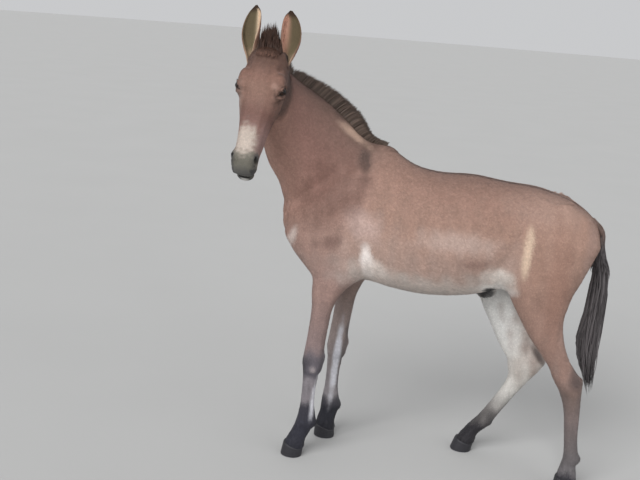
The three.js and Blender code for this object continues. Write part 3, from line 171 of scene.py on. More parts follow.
def tilt_axes(moved: Array, degrees: float, second: int) -> tuple[Array, Array, Array]:
    """Turns offsets in the plane of the first axis and another.

    Args:
        moved: the offsets.
        degrees: the turn.
        second: the number of the other axis.

    Returns:
        The offsets along the two turned axes and along the third.
    """
    turn = math.radians(degrees)
    first = moved[:, 0] * math.cos(turn) + moved[:, second] * math.sin(turn)
    other = moved[:, second] * math.cos(turn) - moved[:, 0] * math.sin(turn)
    return first, other, moved[:, 3 - second]


def ripple(points: Array, wavelength: float, seed: int) -> Array:
    """A soft repeatable unevenness over space.

    Args:
        points: places, in millimetres.
        wavelength: the rough size of its patches.
        seed: picks one pattern.

    Returns:
        One number for each point, mostly between -1 and 1.
    """
    rng = np.random.default_rng(seed)
    waves = unit(rng.normal(size=(9, 3))) * rng.uniform(0.7, 1.5, (9, 1)) * 2 * math.pi / wavelength
    return np.sin(points @ waves.T + rng.uniform(0, 2 * math.pi, 9)).sum(axis=1) / 3


class SectionBody:
    """A body given by sections along a line, as in the part's source."""

    def __init__(self, rows: Sequence[Sequence[float]], axes: Sequence[Sequence[float]],
                 power: float) -> None:
        """Keeps the sections.

        Args:
            rows: at, middle, deep, centre, half, lean and twist of each section.
            axes: the directions of along, depth and side, as rows.
            power: how square the sections are.
        """
        table = np.array(rows, float)
        self.at, self.values = table[:, 0], table[:, 1:]
        self.axes = np.array(axes, float)
        self.power = power
        last = len(table) - 1
        middle, deep, centre, half, lean, twist = self.values.T
        turned = np.abs(twist).max() > 0
        tall = np.maximum(deep, half) if turned else deep
        wide = np.maximum(deep, half) if turned else half * (1 + np.abs(lean))
        self.low = np.array([self.at[0], (middle - tall).min(), (centre - wide).min()]) - FAR
        self.high = np.array([self.at[-1], (middle + tall).max(), (centre + wide).max()]) + FAR
        before = np.maximum(np.arange(last + 1) - 1, 0)
        after = np.minimum(np.arange(last + 1) + 1, last)
        spans = (self.at[after] - self.at[before])[:, None]
        self.slopes = (self.values[after] - self.values[before]) / spans

    def read(self, at: Array) -> Array:
        """Reads middle, deep, centre, half, lean and twist between the sections.

        Args:
            at: places along the body.

        Returns:
            One row of six values for each place.
        """
        at = np.atleast_1d(np.asarray(at, float))
        index = np.clip(np.searchsorted(self.at, at) - 1, 0, len(self.at) - 2)
        span = (self.at[index + 1] - self.at[index])[:, None]
        t = np.clip((at - self.at[index]) / span[:, 0], 0, 1)[:, None]
        start, end = self.values[index], self.values[index + 1]
        rise, fall = self.slopes[index], self.slopes[index + 1]
        square, cube = t * t, t * t * t
        return ((2 * cube - 3 * square + 1) * start + (cube - 2 * square + t) * span * rise
                + (3 * square - 2 * cube) * end + (cube - square) * span * fall)

    def locate(self, points: Array) -> tuple[Array, Array, Array, Array]:
        """Finds where points lie in the sections.

        Args:
            points: places in the body's frame.

        Returns:
            The place along, the depth and side as shares of the section, and the section rows.
        """
        local = points @ self.axes.T
        at = np.clip(local[:, 0], self.at[0], self.at[-1])
        rows = self.read(at)
        middle, deep, centre, half, lean, twist = rows.T
        cosine, sine = np.cos(twist), np.sin(twist)
        depth, side = local[:, 1] - middle, local[:, 2] - centre
        u = (depth * cosine + side * sine) / deep
        width = half * np.maximum(1 + lean * np.clip(u, -1, 1), 0.3)
        v = (side * cosine - depth * sine) / width
        return local[:, 0], u, v, rows

    def distance(self, points: Array) -> Array:
        """Signed distance from points to the body, below zero inside it; only rough far from the body.

        Args:
            points: places in the body's frame, in millimetres.

        Returns:
            One distance for each.
        """
        local = points @ self.axes.T
        outside = np.maximum(self.low - local, local - self.high).max(axis=1)
        near = outside <= 0
        distance = outside + FAR
        distance[near] = self.near_distance(points[near])
        return distance

    def near_distance(self, points: Array) -> Array:
        """Signed distance to the body from points in or near it.

        Args:
            points: places in the body's frame, in millimetres.

        Returns:
            One distance for each.
        """
        along, u, v, rows = self.locate(points)
        ring = (np.abs(u) ** self.power + np.abs(v) ** self.power) ** (1 / self.power)
        across = (ring - 1) * np.minimum(rows[:, 1], rows[:, 3])
        beyond = np.abs(along - np.clip(along, self.at[0], self.at[-1]))
        return np.where(beyond > 0, np.hypot(np.maximum(across, 0), beyond), across)

    def place(self, at: Array, u: Array, v: Array) -> Array:
        """Places given by a section and shares of its depth and side.

        Args:
            at: places along the body.
            u: shares of the depth.
            v: shares of the half width.

        Returns:
            Points in the body's frame.
        """
        middle, deep, centre, half, lean, twist = self.read(at).T
        depth = u * deep
        side = v * half * np.maximum(1 + lean * np.clip(u, -1, 1), 0.3)
        cosine, sine = np.cos(twist), np.sin(twist)
        local = np.stack([np.broadcast_to(at, depth.shape), middle + depth * cosine - side * sine,
                          centre + depth * sine + side * cosine], axis=1)
        return local @ self.axes

    def tube(self, spacing: float, segments: int, inset: float) -> tuple[Array, list[list[int]]]:
        """A closed tube a little inside the body.

        Args:
            spacing: distance between its rings.
            segments: points in a ring.
            inset: how far inside the body it lies.

        Returns:
            Its points and faces.
        """
        count = max(int((self.at[-1] - self.at[0]) / spacing), 3)
        stations = np.linspace(self.at[0] + 2, self.at[-1] - 2, count)
        angles = even_turns(segments)
        cosine, sine = np.cos(angles), np.sin(angles)
        u = np.sign(cosine) * np.abs(cosine) ** (2 / self.power)
        v = np.sign(sine) * np.abs(sine) ** (2 / self.power)
        rings = []
        for station in stations:
            row = self.read(station)[0]
            keep = 1 - inset / min(row[1], row[3])
            rings.append(self.place(np.full(segments, station), u * keep, v * keep))
        return np.concatenate(rings), ring_faces(count, segments)


def ring_faces(rings: int, segments: int) -> list[list[int]]:
    """Faces that join rings of points into a tube with both ends closed.

    Args:
        rings: how many rings there are.
        segments: points in each.

    Returns:
        The faces, as lists of point numbers.
    """
    faces = []
    for ring in range(rings - 1):
        for index in range(segments):
            beside = (index + 1) % segments
            faces.append([ring * segments + index, ring * segments + beside,
                          (ring + 1) * segments + beside, (ring + 1) * segments + index])
    faces.append(list(range(segments))[::-1])
    faces.append(list(range((rings - 1) * segments, rings * segments)))
    return faces


class HeadFrame:
    """The head's own frame: down the face, out of the face, and towards the mule's right."""

    def __init__(self) -> None:
        """Works out the frame from how the head is turned, tipped and rolled."""
        turn, steep, roll = math.radians(88), math.radians(67), math.radians(5)
        heading = np.array([-math.cos(turn), -math.sin(turn), 0])
        up = np.array([0, 0, 1.0])
        right = np.cross(heading, up)
        down = heading * math.cos(steep) - up * math.sin(steep)
        out = heading * math.sin(steep) + up * math.cos(steep)
        rolled_right = right * math.cos(roll) - down * math.sin(roll)
        rolled_down = down * math.cos(roll) + right * math.sin(roll)
        self.axes = np.array([rolled_down, out, rolled_right])
        self.origin = np.array([-182, -242, 1275.0]) - rolled_down * 108 + out * 42

    def to_local(self, points: Array) -> Array:
        """Turns points of the body's frame into the head's frame."""
        return (points - self.origin) @ self.axes.T

    def to_body(self, local: Array) -> Array:
        """Turns points of the head's frame into the body's frame."""
        return local @ self.axes + self.origin

    def point(self, along: Array, out: Array, right: Array) -> Array:
        """Turns a place in the head's frame into a point of the body's frame."""
        return self.to_body(np.stack(np.broadcast_arrays(along, out, right), axis=-1).astype(float))

    def direction(self, along: float, out: float, right: float) -> Array:
        """Turns a direction in the head's frame into the body's frame."""
        return unit(np.array([along, out, right], float) @ self.axes)


def lens_distance(points: Array, centre: Sequence[float], radii: Sequence[float]) -> Array:
    """Distance to a rounded swelling with three radii."""
    return (np.linalg.norm((points - centre) / np.array(radii, float), axis=1) - 1) * min(radii)


# Swellings of the head, both sides alike: centre, radii, blend.
HEAD_PAIRS = (
    (ORBIT, (31, 27, 25), 12), ((91, -18, 50), (20, 16, 18), 14), ((112, -118, 42), (60, 46, 22), 16),
    ((16, -56, 54), (26, 28, 25), 12), ((334, -34, 27), (24, 17, 16), 10),
)
HEAD_MIDDLE = (((366, -50, 0), (20, 24, 33), 10), ((372, -89, 0), (22, 14, 30), 11),
               ((346, -94, 0), (22, 14, 25), 9))
SHEATH = ((566, -12, 652), (42, 23, 34), 14)

# Soft relief of the trunk, both sides alike: x, side, z, three radii, tilt in side view, amount outwards.
TRUNK_RELIEF = (
    (62, 118, 930, 24, 60, 120, -52, 5.0), (-12, 100, 960, 20, 50, 120, -50, -6.0),
    (150, 120, 960, 26, 60, 90, -20, -4.0), (-84, 92, 785, 34, 40, 36, 0, 7.0),
    (80, 132, 790, 48, 40, 66, 0, 6.0), (118, 128, 700, 26, 34, 26, 0, 5.0),
    (176, 140, 700, 34, 70, 74, 12, -8.0), (-104, 36, 790, 32, 32, 46, 0, 5.0),
    (-112, 0, 790, 40, 10, 70, 0, -6.0), (615, 138, 915, 48, 50, 40, 20, -8.0),
    (658, 118, 975, 60, 40, 44, 25, 2.5), (628, 150, 742, 34, 40, 38, 0, 5.0),
    (600, 150, 790, 22, 50, 70, -24, -5.0), (820, 96, 800, 14, 50, 120, 6, -5.0),
    (770, 130, 880, 46, 50, 50, 0, 4.0), (700, 60, 1002, 60, 40, 14, 0, 3.0),
    (200, 60, 1060, 60, 26, 16, 0, -3.0), (210, 0, 1088, 60, 18, 12, 0, 3.0),
    (330, 172, 830, 120, 50, 90, 0, 3.0), (520, 160, 720, 90, 50, 40, -12, -3.0),
)
# Soft relief of the limbs: height, place from front (-1) to rear (1), outer side (1) or inner side (-1),
# radii, amount.
FORE_RELIEF = (
    (352, -0.9, 0, 20, 10, 22, 2.5), (338, 0.1, 1, 22, 20, 10, 2.0), (338, 0.1, -1, 22, 20, 10, 2.0),
    (372, 1.0, 0, 17, 9, 11, 6.0), (240, 0.25, 1, 80, 5, 9, -3.5), (240, 0.25, -1, 80, 5, 9, -3.5),
    (124, 0.95, 0.5, 14, 10, 10, 3.0), (124, 0.95, -0.5, 14, 10, 10, 3.0),
    (470, 0.25, 1, 70, 8, 12, -2.5), (560, -0.5, 1, 60, 20, 16, 3.0), (590, 0.5, 1, 70, 18, 16, 3.0),
    (310, 0.9, 0, 10, 8, 12, -3.0), (75, 0.6, 0, 14, 10, 16, -2.0),
)
HIND_RELIEF = (
    (398, 1.0, 0, 26, 9, 12, 5.0), (446, 0.55, 1, 44, 12, 12, -7.0), (446, 0.55, -1, 44, 12, 12, -7.0),
    (366, -0.2, 1, 24, 20, 10, 2.5), (366, -0.2, -1, 24, 20, 10, 2.5), (352, -0.9, 0, 26, 9, 16, 2.5),
    (240, 0.3, 1, 80, 5, 9, -3.5), (240, 0.3, -1, 80, 5, 9, -3.5), (118, 0.95, 0.5, 14, 10, 10, 3.0),
    (118, 0.95, -0.5, 14, 10, 10, 3.0), (540, -0.3, 1, 70, 22, 20, 4.0),
    (560, 0.75, 1, 50, 10, 16, -3.0), (75, 0.6, 0, 14, 10, 16, -2.0),
)
# Soft relief of the head, both sides alike: along, out, side, three radii, tilt in side view, amount.
HEAD_RELIEF = (
    (66, -20, 44, 15, 14, 12, 0, -5.0), (170, -66, 60, 52, 8, 14, -12, 3.5),
    (118, -112, 64, 46, 34, 18, 0, 3.0), (176, -112, 48, 26, 18, 16, 0, -3.5),
    (250, -46, 44, 56, 15, 14, -4, -3.5), (222, -10, 24, 70, 8, 10, 0, 2.5),
    (70, -148, 46, 44, 14, 18, 0, 2.0), (286, -68, 40, 26, 10, 12, 0, 2.5),
    (338, -18, 24, 12, 8, 10, 0, 2.0), (140, -10, 46, 18, 8, 12, 0, -2.5),
    (60, 6, 0, 40, 8, 26, 0, 2.0), (300, -98, 0, 30, 10, 12, 0, -3.0),
    (358, -60, 34, 10, 12, 10, 0, 1.5), (20, -86, 62, 20, 26, 14, 0, -3.0),
)


class MuleBody:
    """The animal's flesh as a distance field, with the relief of its bones and muscles."""

    def __init__(self) -> None:
        """Builds the bodies of trunk, neck, head and limbs."""
        self.head_frame = HeadFrame()
        side_view = ((1, 0, 0), (0, 0, 1), (0, 1, 0))
        upright = ((0, 0, 1), (1, 0, 0), (0, 1, 0))
        neck_axes = ((-0.525, 0, 0.851), (0.851, 0, 0.525), (0, 1, 0))
        self.trunk = SectionBody([self.edge_row(*row[:3], 0, *row[3:]) for row in TRUNK], side_view, 2.25)
        self.neck = SectionBody(NECK, neck_axes, 2.1)
        self.head = SectionBody([self.edge_row(*row[:3], 0, *row[3:]) for row in HEAD], np.eye(3), 2.4)
        tables = {"foreleg_left": FORELEG, "foreleg_right": FORELEG,
                  "hindleg_left": LEFT_HINDLEG, "hindleg_right": RIGHT_HINDLEG}
        self.limbs = {
            name: SectionBody([self.limb_row(name, *row) for row in tables[name]], upright, 2.15)
            for name in LIMBS
        }
        self.limb_relief = [relief for name in LIMBS for relief in self.place_limb_relief(name)]

    @staticmethod
    def edge_row(at: float, low: float, high: float, centre: float, half: float,
                 lean: float) -> list[float]:
        """A section row from its two edges."""
        return [at, (low + high) / 2, (high - low) / 2, centre, half, lean, 0]

    def limb_row(self, name: str, at: float, front: float, rear: float, half: float) -> list[float]:
        """A section row of a limb, with its side and how far it is set back.

        Args:
            name: the limb.
            at: height.
            front: front edge in side view.
            rear: rear edge.
            half: half width.

        Returns:
            The full row.
        """
        sign = -1 if name.endswith("left") else 1
        shift = 0.0
        if name.startswith("fore"):
            stance = FORE_STANCE if sign < 0 else RIGHT_FORE_STANCE
            side = stance + (74 - stance) * min(max((at - 600) / 300, 0), 1)
            if sign > 0:
                shift = 98 * (1 - float(smooth(560, 900, at))) * (1 - 0.34 * min(at / 150, 1))
        elif at > 700:
            side = 94 + (70 - 94) * min((at - 700) / 230, 1)
        else:
            side = HIND_STANCE + (94 - HIND_STANCE) * at / 700
        return self.edge_row(at, front + shift, rear + shift, sign * side, half, 0)

    def place_limb_relief(self, name: str) -> list[tuple[Array, Array, float]]:
        """The soft relief of one limb, set on its sections.

        Args:
            name: the limb.

        Returns:
            The centre, radii and amount of each swelling.
        """
        body = self.limbs[name]
        sign = -1 if name.endswith("left") else 1
        placed = []
        table = FORE_RELIEF if name.startswith("fore") else HIND_RELIEF
        for height, u, side, tall, deep, wide, amount in table:
            v = sign * side * math.sqrt(max(1 - u * u, 0.06))
            centre = body.place(np.array([float(height)]), np.array([u]), np.array([v]))[0]
            placed.append((centre, np.array([deep, wide, tall], float), amount))
        return placed

    def flesh(self, points: Array) -> Array:
        """Distance to the body of the part's source.

        Args:
            points: places in the body's frame, in millimetres.

        Returns:
            One distance for each, below zero inside.
        """
        distance = self.trunk.distance(points)
        for limb in self.limbs.values():
            distance = blend_near(distance, limb.distance(points), 34)
        distance = blend_near(distance, lens_distance(points, SHEATH[0], SHEATH[1]), SHEATH[2])
        distance = blend_near(distance, self.neck.distance(points), 60)
        return blend_near(distance, self.skull(points), 30)

    def skull(self, points: Array) -> Array:
        """Distance to the head, with its brows, cheeks, nostril rims and lips.

        Args:
            points: places in the body's frame, in millimetres.

        Returns:
            One distance for each, below zero inside.
        """
        local = self.head_frame.to_local(points)
        distance = self.head.distance(local)
        folded = local.copy()
        folded[:, 2] = np.abs(folded[:, 2])
        for centre, radii, blend in HEAD_PAIRS:
            distance = blend_near(distance, lens_distance(folded, centre, radii), blend)
        for centre, radii, blend in HEAD_MIDDLE:
            distance = blend_near(distance, lens_distance(local, centre, radii), blend)
        return distance

    def relief(self, points: Array) -> Array:
        """How far bones and muscles raise the skin, in millimetres.

        Args:
            points: places in the body's frame, in millimetres.

        Returns:
            One height for each, below zero in a hollow.
        """
        raised = np.zeros(len(points))
        folded = points.copy()
        folded[:, 1] = np.abs(folded[:, 1])
        for x, side, z, deep, wide, tall, tilt, amount in TRUNK_RELIEF:
            self.raise_mound(raised, folded, (x, side, z), (deep, wide, tall), tilt, amount, 2)
        for centre, radii, amount in self.limb_relief:
            self.raise_mound(raised, points, centre, radii, 0.0, amount, 2)
        local = self.head_frame.to_local(points)
        local[:, 2] = np.abs(local[:, 2])
        for along, out, side, long, deep, wide, tilt, amount in HEAD_RELIEF:
            self.raise_mound(raised, local, (along, out, side), (long, deep, wide), tilt, amount, 1)
        return raised + self.ribs(folded)

    @staticmethod
    def raise_mound(raised: Array, points: Array, centre: Sequence[float], radii: Sequence[float],
                    tilt: float, amount: float, second: int) -> None:
        """Adds a soft mound or hollow, tilted in the plane of the first axis and another.

        Args:
            raised: the heights that it is added to.
            points: places in the mound's frame.
            centre: its middle.
            radii: its reach along each axis.
            tilt: its turn in degrees.
            amount: its height, below zero for a hollow.
            second: the other axis of the turn.
        """
        reach = 2.6 * max(radii)
        near = np.flatnonzero((np.abs(points - centre) < reach).all(axis=1))
        first, other, third = tilt_axes(points[near] - centre, tilt, second)
        total = (first / radii[0]) ** 2 + (other / radii[second]) ** 2 + (third / radii[3 - second]) ** 2
        raised[near] += amount * np.exp(-total)

    @staticmethod
    def ribs(folded: Array) -> Array:
        """The faint run of the ribs along the barrel.

        Args:
            folded: places with both sides laid on one.

        Returns:
            One height for each.
        """
        x, side, z = folded.T
        window = smooth(215, 270, x) * smooth(590, 520, x) * smooth(690, 760, z) * smooth(960, 900, z)
        return 0.9 * window * np.sin((x + 0.42 * (z - 820)) / 46 * 2 * math.pi) * smooth(90, 130, side)

    def distance(self, points: Array) -> Array:
        """Distance to the skin with its relief."""
        return self.flesh(points) - self.relief(points)

    def gradient(self, points: Array, field: Callable[[Array], Array], step: float = 0.8) -> Array:
        """The slope of a field, from four nearby readings."""
        corners = np.array([[1, 1, 1], [1, -1, -1], [-1, 1, -1], [-1, -1, 1]], float)
        return sum(corner * field(points + corner * step)[:, None] for corner in corners) / (4 * step)

    def region_distances(self, points: Array) -> Array:
        """Distances to trunk, neck, head and the four limbs, in the order of Region.

        Args:
            points: places in the body's frame, in millimetres.

        Returns:
            One row for each place.
        """
        parts = [self.trunk.distance(points), self.neck.distance(points), self.skull(points)]
        parts += [self.limbs[name].distance(points) for name in LIMBS]
        return np.stack(parts, axis=1)

    def shares(self, points: Array, width: float) -> Array:
        """How much each region has a say at each point, where regions run together over a width.

        Args:
            points: places in the body's frame, in millimetres.
            width: how far they run into each other.

        Returns:
            One row for each place, with a sum of one.
        """
        shares = np.exp(-np.maximum(self.region_distances(points), -30) / width)
        return shares / shares.sum(axis=1, keepdims=True)

    def cast(self, origin: Array, direction: Array) -> Array:
        """The place where a ray from inside the body leaves it.

        Args:
            origin: where it starts.
            direction: where it goes, of length one.

        Returns:
            The place.
        """
        near, far = 0.0, 6.0
        while self.flesh((origin + direction * far)[None])[0] < 0:
            near, far = far, far + 6
        for _ in range(12):
            middle = (near + far) / 2
            if self.flesh((origin + direction * middle)[None])[0] < 0:
                near = middle
            else:
                far = middle
        return origin + direction * near


class Bearings:
    """Turns the body's millimetres into the model's metres."""

    def __init__(self) -> None:
        """Reads the shift between the two frames from where the left forehoof stands."""
        low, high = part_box("forehoof_left")
        self.shift = np.array([low[0] / MM - FORE_TOE_X, (low[1] + high[1]) / 2 / MM + FORE_STANCE, 0.0])

    def to_model(self, points: Array) -> Array:
        """Points in metres of the model."""
        return (points + self.shift) * MM

    def to_body(self, points: Array) -> Array:
        """Points in millimetres of the body's own frame."""
        return points / MM - self.shift


MULE = MuleBody()
BEARINGS = Bearings()


def linear(colour: Sequence[float]) -> Array:
    """Turns a colour written from 0 to 255 into linear light."""
    share = np.array(colour, float) / 255
    return np.where(share <= 0.04045, share / 12.92, ((share + 0.055) / 1.055) ** 2.4)


def tinted(colours: Array, colour: Sequence[float], share: Array) -> Array:
    """Colours brought a share of the way to a colour written from 0 to 255."""
    return colours + (linear(colour) - colours) * share[:, None]


@dataclass(frozen=True)
class Patch:
    """An oval patch of colour in the coat."""

    centre: tuple[float, float, float]
    radii: tuple[float, float, float]
    colour: Colour
    strength: float = 1.0
    soft: float = 0.45
    tilt: float = 0.0


class Markings:
    """The colours of the skin and coat, by place on the body, with painted shade and a painted highlight in
    a few patches.
    """

    belly_to_back = ((0, (206, 198, 192)), (0.12, (192, 180, 172)), (0.28, (164, 140, 129)),
                     (0.6, (152, 122, 108)), (0.85, (147, 116, 103)), (1.0, (134, 107, 96)))
    neck_front_to_crest = ((0, (172, 136, 122)), (0.45, (146, 111, 101)), (0.85, (118, 92, 83)),
                           (1.0, (98, 78, 70)))
    face_down = ((0, (82, 59, 49)), (50, (103, 77, 67)), (90, (128, 96, 84)), (125, (137, 106, 93)),
                 (165, (128, 98, 87)), (199, (116, 85, 76)), (240, (128, 97, 89)), (300, (128, 104, 96)),
                 (322, (108, 103, 93)), (358, (100, 97, 88)), (380, (84, 82, 79)), (395, (72, 71, 70)))
    fore_up = ((0, (40, 40, 48)), (120, (46, 46, 56)), (190, (54, 52, 60)), (216, (124, 118, 122)),
               (300, (132, 126, 130)), (322, (92, 88, 95)), (385, (102, 95, 100)), (420, (136, 118, 116)),
               (600, (148, 122, 114)), (760, (148, 119, 109)))
    far_fore_up = ((0, (38, 38, 44)), (120, (42, 42, 50)), (150, (70, 68, 74)), (176, (138, 133, 136)),
                   (430, (148, 134, 130)), (600, (144, 124, 116)), (760, (148, 119, 109)))
    hind_up = ((0, (40, 38, 42)), (62, (46, 44, 50)), (84, (104, 100, 102)), (150, (98, 92, 92)),
               (250, (112, 100, 98)), (340, (112, 96, 90)), (420, (138, 112, 102)),
               (560, (148, 119, 107)), (800, (154, 124, 110)))
    far_hind_up = ((0, (36, 34, 38)), (110, (42, 40, 44)), (170, (110, 106, 104)), (260, (192, 189, 184)),
                   (400, (206, 203, 198)), (560, (206, 203, 198)), (800, (160, 132, 118)))
    # Laid on both sides alike.
    patches = (
        Patch((445, 150, 838), (120, 90, 34), (180, 158, 148), 0.75, 0.6),
        # Painted shade in the hollow of the flank.
        Patch((508, 150, 776), (42, 90, 17), (122, 95, 86), 0.6, 0.6),
        Patch((300, 150, 678), (190, 110, 30), (196, 184, 176), 0.65, 0.6),
        Patch((168, 150, 738), (22, 90, 54), (236, 227, 222), 0.97, 0.4, 8),
        Patch((196, 140, 716), (40, 90, 30), (216, 205, 197), 0.75, 0.6),
        Patch((140, 150, 862), (62, 80, 40), (182, 158, 150), 0.7, 0.6, -30),
        Patch((52, 140, 796), (44, 80, 20), (106, 80, 73), 0.6, 0.6, 20),
        Patch((96, 150, 772), (16, 80, 50), (172, 148, 138), 0.5, 0.6),
        Patch((-96, 0, 760), (30, 60, 26), (178, 158, 149), 0.5, 0.6),
        Patch((128, 110, 1050), (21, 130, 40), (74, 60, 55), 0.85, 0.5, 14),
        Patch((82, 60, 1132), (58, 80, 13), (188, 160, 142), 0.75, 0.5, -37),
        Patch((40, 120, 960), (92, 100, 110), (112, 82, 72), 0.62, 0.6, -20),
        Patch((730, 110, 965), (150, 120, 50), (160, 134, 122), 0.5, 0.6),
        # Painted highlight on the fold at the front of the thigh.
        Patch((664, 160, 828), (15, 60, 76), (206, 182, 160), 0.9, 0.5),
        Patch((700, 160, 800), (20, 60, 90), (152, 118, 102), 0.4, 0.6),
        Patch((775, 130, 720), (40, 80, 180), (146, 108, 93), 0.4, 0.6, 6),
        Patch((862, 90, 810), (22, 80, 120), (164, 138, 128), 0.5, 0.6),
        Patch((590, 150, 728), (54, 70, 34), (214, 205, 197), 0.85, 0.5, -20),
        Patch((600, 20, 670), (66, 66, 42), (226, 222, 218), 0.95, 0.5),
    )
    # Laid where they stand.
    near_patches = (
        Patch((-84, -112, 786), (13, 26, 40), (206, 193, 186), 0.7, 0.6, -24),
        Patch((580, -100, 686), (60, 70, 26), (222, 217, 212), 0.9, 0.5),
        Patch((566, -104, 673), (18, 60, 13), (38, 36, 38), 0.97, 0.4),
        Patch((566, -26, 634), (26, 50, 34), (38, 36, 38), 0.97, 0.4),
        Patch((34, -120, 232), (9, 26, 74), (226, 226, 232), 0.92, 0.5, -4),
        Patch((24, -125, 338), (10, 20, 12), (170, 160, 160), 0.7, 0.6, 0),
        Patch((-8, -100, 345), (16, 40, 44), (54, 52, 58), 0.85, 0.5, 0),
        Patch((86, 40, 300), (13, 34, 165), (212, 212, 218), 0.95, 0.35, -4),
        Patch((108, 62, 330), (10, 40, 120), (66, 60, 62), 0.6, 0.6, -4),
        Patch((640, 40, 560), (80, 60, 170), (224, 223, 220), 0.92, 0.5, 24),
        Patch((735, 80, 350), (44, 50, 70), (178, 170, 163), 0.7, 0.6, 0),
        Patch((806, 60, 540), (112, 130, 210), (174, 153, 143), 0.8, 0.55, 14),
        # Painted shade along the back of the far hock.
        Patch((784, 95, 404), (10, 50, 46), (80, 71, 68), 0.8, 0.6, 36),
        Patch((716, -40, 560), (50, 40, 90), (206, 200, 194), 0.6, 0.6, 28),
        Patch((884, -100, 404), (24, 60, 46), (74, 64, 63), 0.8, 0.6, 10),
    )
    # In the head's frame; the side is towards the mule's right.
    head_patches = (
        Patch((16, -72, 0), (34, 44, 70), (76, 54, 46), 0.9, 0.6),
        Patch((110, -120, 66), (90, 60, 30), (112, 84, 74), 0.5, 0.6),
        # Painted shade on the left cheek, the side of the head turned away from the light.
        Patch((110, -110, -66), (86, 74, 34), (84, 66, 60), 0.75, 0.6),
        # Painted shade on the left jaw and throat.
        Patch((190, -92, -58), (60, 26, 24), (84, 64, 58), 0.6, 0.6),
        Patch((196, -40, 58), (74, 44, 16), (158, 136, 126), 0.6, 0.6),
        Patch((262, -66, 44), (52, 30, 22), (132, 110, 102), 0.6, 0.6),
        Patch((282, -46, -38), (50, 34, 17), (154, 126, 122), 0.65, 0.6),
        Patch((282, -14, 8), (43, 46, 32), (190, 177, 166), 0.95, 0.45),
        Patch((126, -28, 58), (26, 17, 22), (62, 48, 44), 0.7, 0.6),
        Patch((126, -28, -58), (26, 17, 22), (62, 46, 41), 0.75, 0.6),
        # Painted shade in the crease behind the left eye.
        Patch((108, -54, -66), (50, 10, 18), (66, 47, 41), 0.75, 0.5, 63),
        Patch((113, -4, -43), (8, 8, 9), (166, 134, 121), 0.6, 0.6),
        Patch((338, -28, 38), (19, 15, 14), (50, 50, 52), 0.9, 0.5),
        Patch((334, -26, -37), (19, 15, 14), (58, 56, 56), 0.9, 0.5),
        Patch((374, -54, 33), (18, 36, 9), (52, 51, 53), 0.85, 0.5),
        Patch((374, -54, -33), (18, 36, 9), (52, 51, 53), 0.85, 0.5),
        # Painted shade under the lower lip.
        Patch((386, -96, 0), (20, 17, 34), (56, 55, 58), 0.92, 0.5),
        # Pale hair on the lower lip, with a painted highlight on it.
        Patch((395, -84, -2), (11, 7, 14), (200, 197, 192), 0.95, 0.5),
    )

    @staticmethod
    def ramp(stops: Sequence[tuple[float, Colour]], value: Array) -> Array:
        """Reads a run of colours.

        Args:
            stops: values with their colours.
            value: where to read it.

        Returns:
            Linear colours.
        """
        keys = [stop[0] for stop in stops]
        table = np.array([linear(stop[1]) for stop in stops])
        return np.stack([np.interp(value, keys, table[:, channel]) for channel in range(3)], axis=1)

    @staticmethod
    def lay(colours: Array, points: Array, patch: Patch, unevenness: Array, second: int) -> Array:
        """Lays one patch over the colours.

        Args:
            colours: what it is laid on.
            points: places in the patch's frame.
            patch: the patch.
            unevenness: how ragged its edge is, for each place.
            second: the other axis of its tilt.

        Returns:
            The new colours.
        """
        first, other, third = tilt_axes(points - patch.centre, patch.tilt, second)
        radii = patch.radii
        reach = np.sqrt((first / radii[0]) ** 2 + (other / radii[second]) ** 2
                        + (third / radii[3 - second]) ** 2)
        share = smooth(1 + patch.soft, 1 - patch.soft, reach + 0.16 * unevenness) * patch.strength
        return tinted(colours, patch.colour, share)

    def colours(self, points: Array) -> Array:
        """The coat's colour at points of the body.

        Args:
            points: places in the body's frame, in millimetres.

        Returns:
            Linear red, green and blue of each.
        """
        weights = MULE.shares(points, 9)
        _, trunk_u, _, _ = MULE.trunk.locate(points)
        _, neck_u, _, _ = MULE.neck.locate(points)
        uneven = ripple(points, 60, 3)
        fine = ripple(points, 17, 4)
        trunk = self.ramp(self.belly_to_back, trunk_u * 0.5 + 0.5 + 0.03 * uneven)
        neck = self.ramp(self.neck_front_to_crest, neck_u * 0.5 + 0.5 + 0.04 * uneven)
        local = MULE.head_frame.to_local(points)
        head = self.ramp(self.face_down, local[:, 0] - 0.32 * np.maximum(-local[:, 1] - 30, 0) + 3 * fine)
        height = points[:, 2] + 8 * uneven
        limbs = [self.ramp(stops, height)
                 for stops in (self.fore_up, self.far_fore_up, self.hind_up, self.far_hind_up)]
        parts = np.stack([trunk, neck, head, *limbs], axis=1)
        colours = (parts * weights[:, :, None]).sum(axis=1)
        off_head = 1 - weights[:, 2:3]
        folded = points.copy()
        folded[:, 1] = np.abs(folded[:, 1])
        body = colours
        for patch in self.patches:
            body = self.lay(body, folded, patch, uneven, 2)
        for patch in self.near_patches:
            body = self.lay(body, points, patch, uneven, 2)
        line = np.exp(-(points[:, 1] / 13) ** 2) * smooth(0.8, 0.97, trunk_u)
        line = line * smooth(150, 240, points[:, 0])
        body = tinted(body, (78, 60, 52), 0.8 * line)
        face = colours
        for patch in self.head_patches:
            face = self.lay(face, local, patch, fine, 1)
        colours = body * off_head + face * (1 - off_head)
        return np.clip(colours * (1 + 0.05 * uneven + 0.04 * fine)[:, None], 0.004, 0.95)


MARKINGS = Markings()


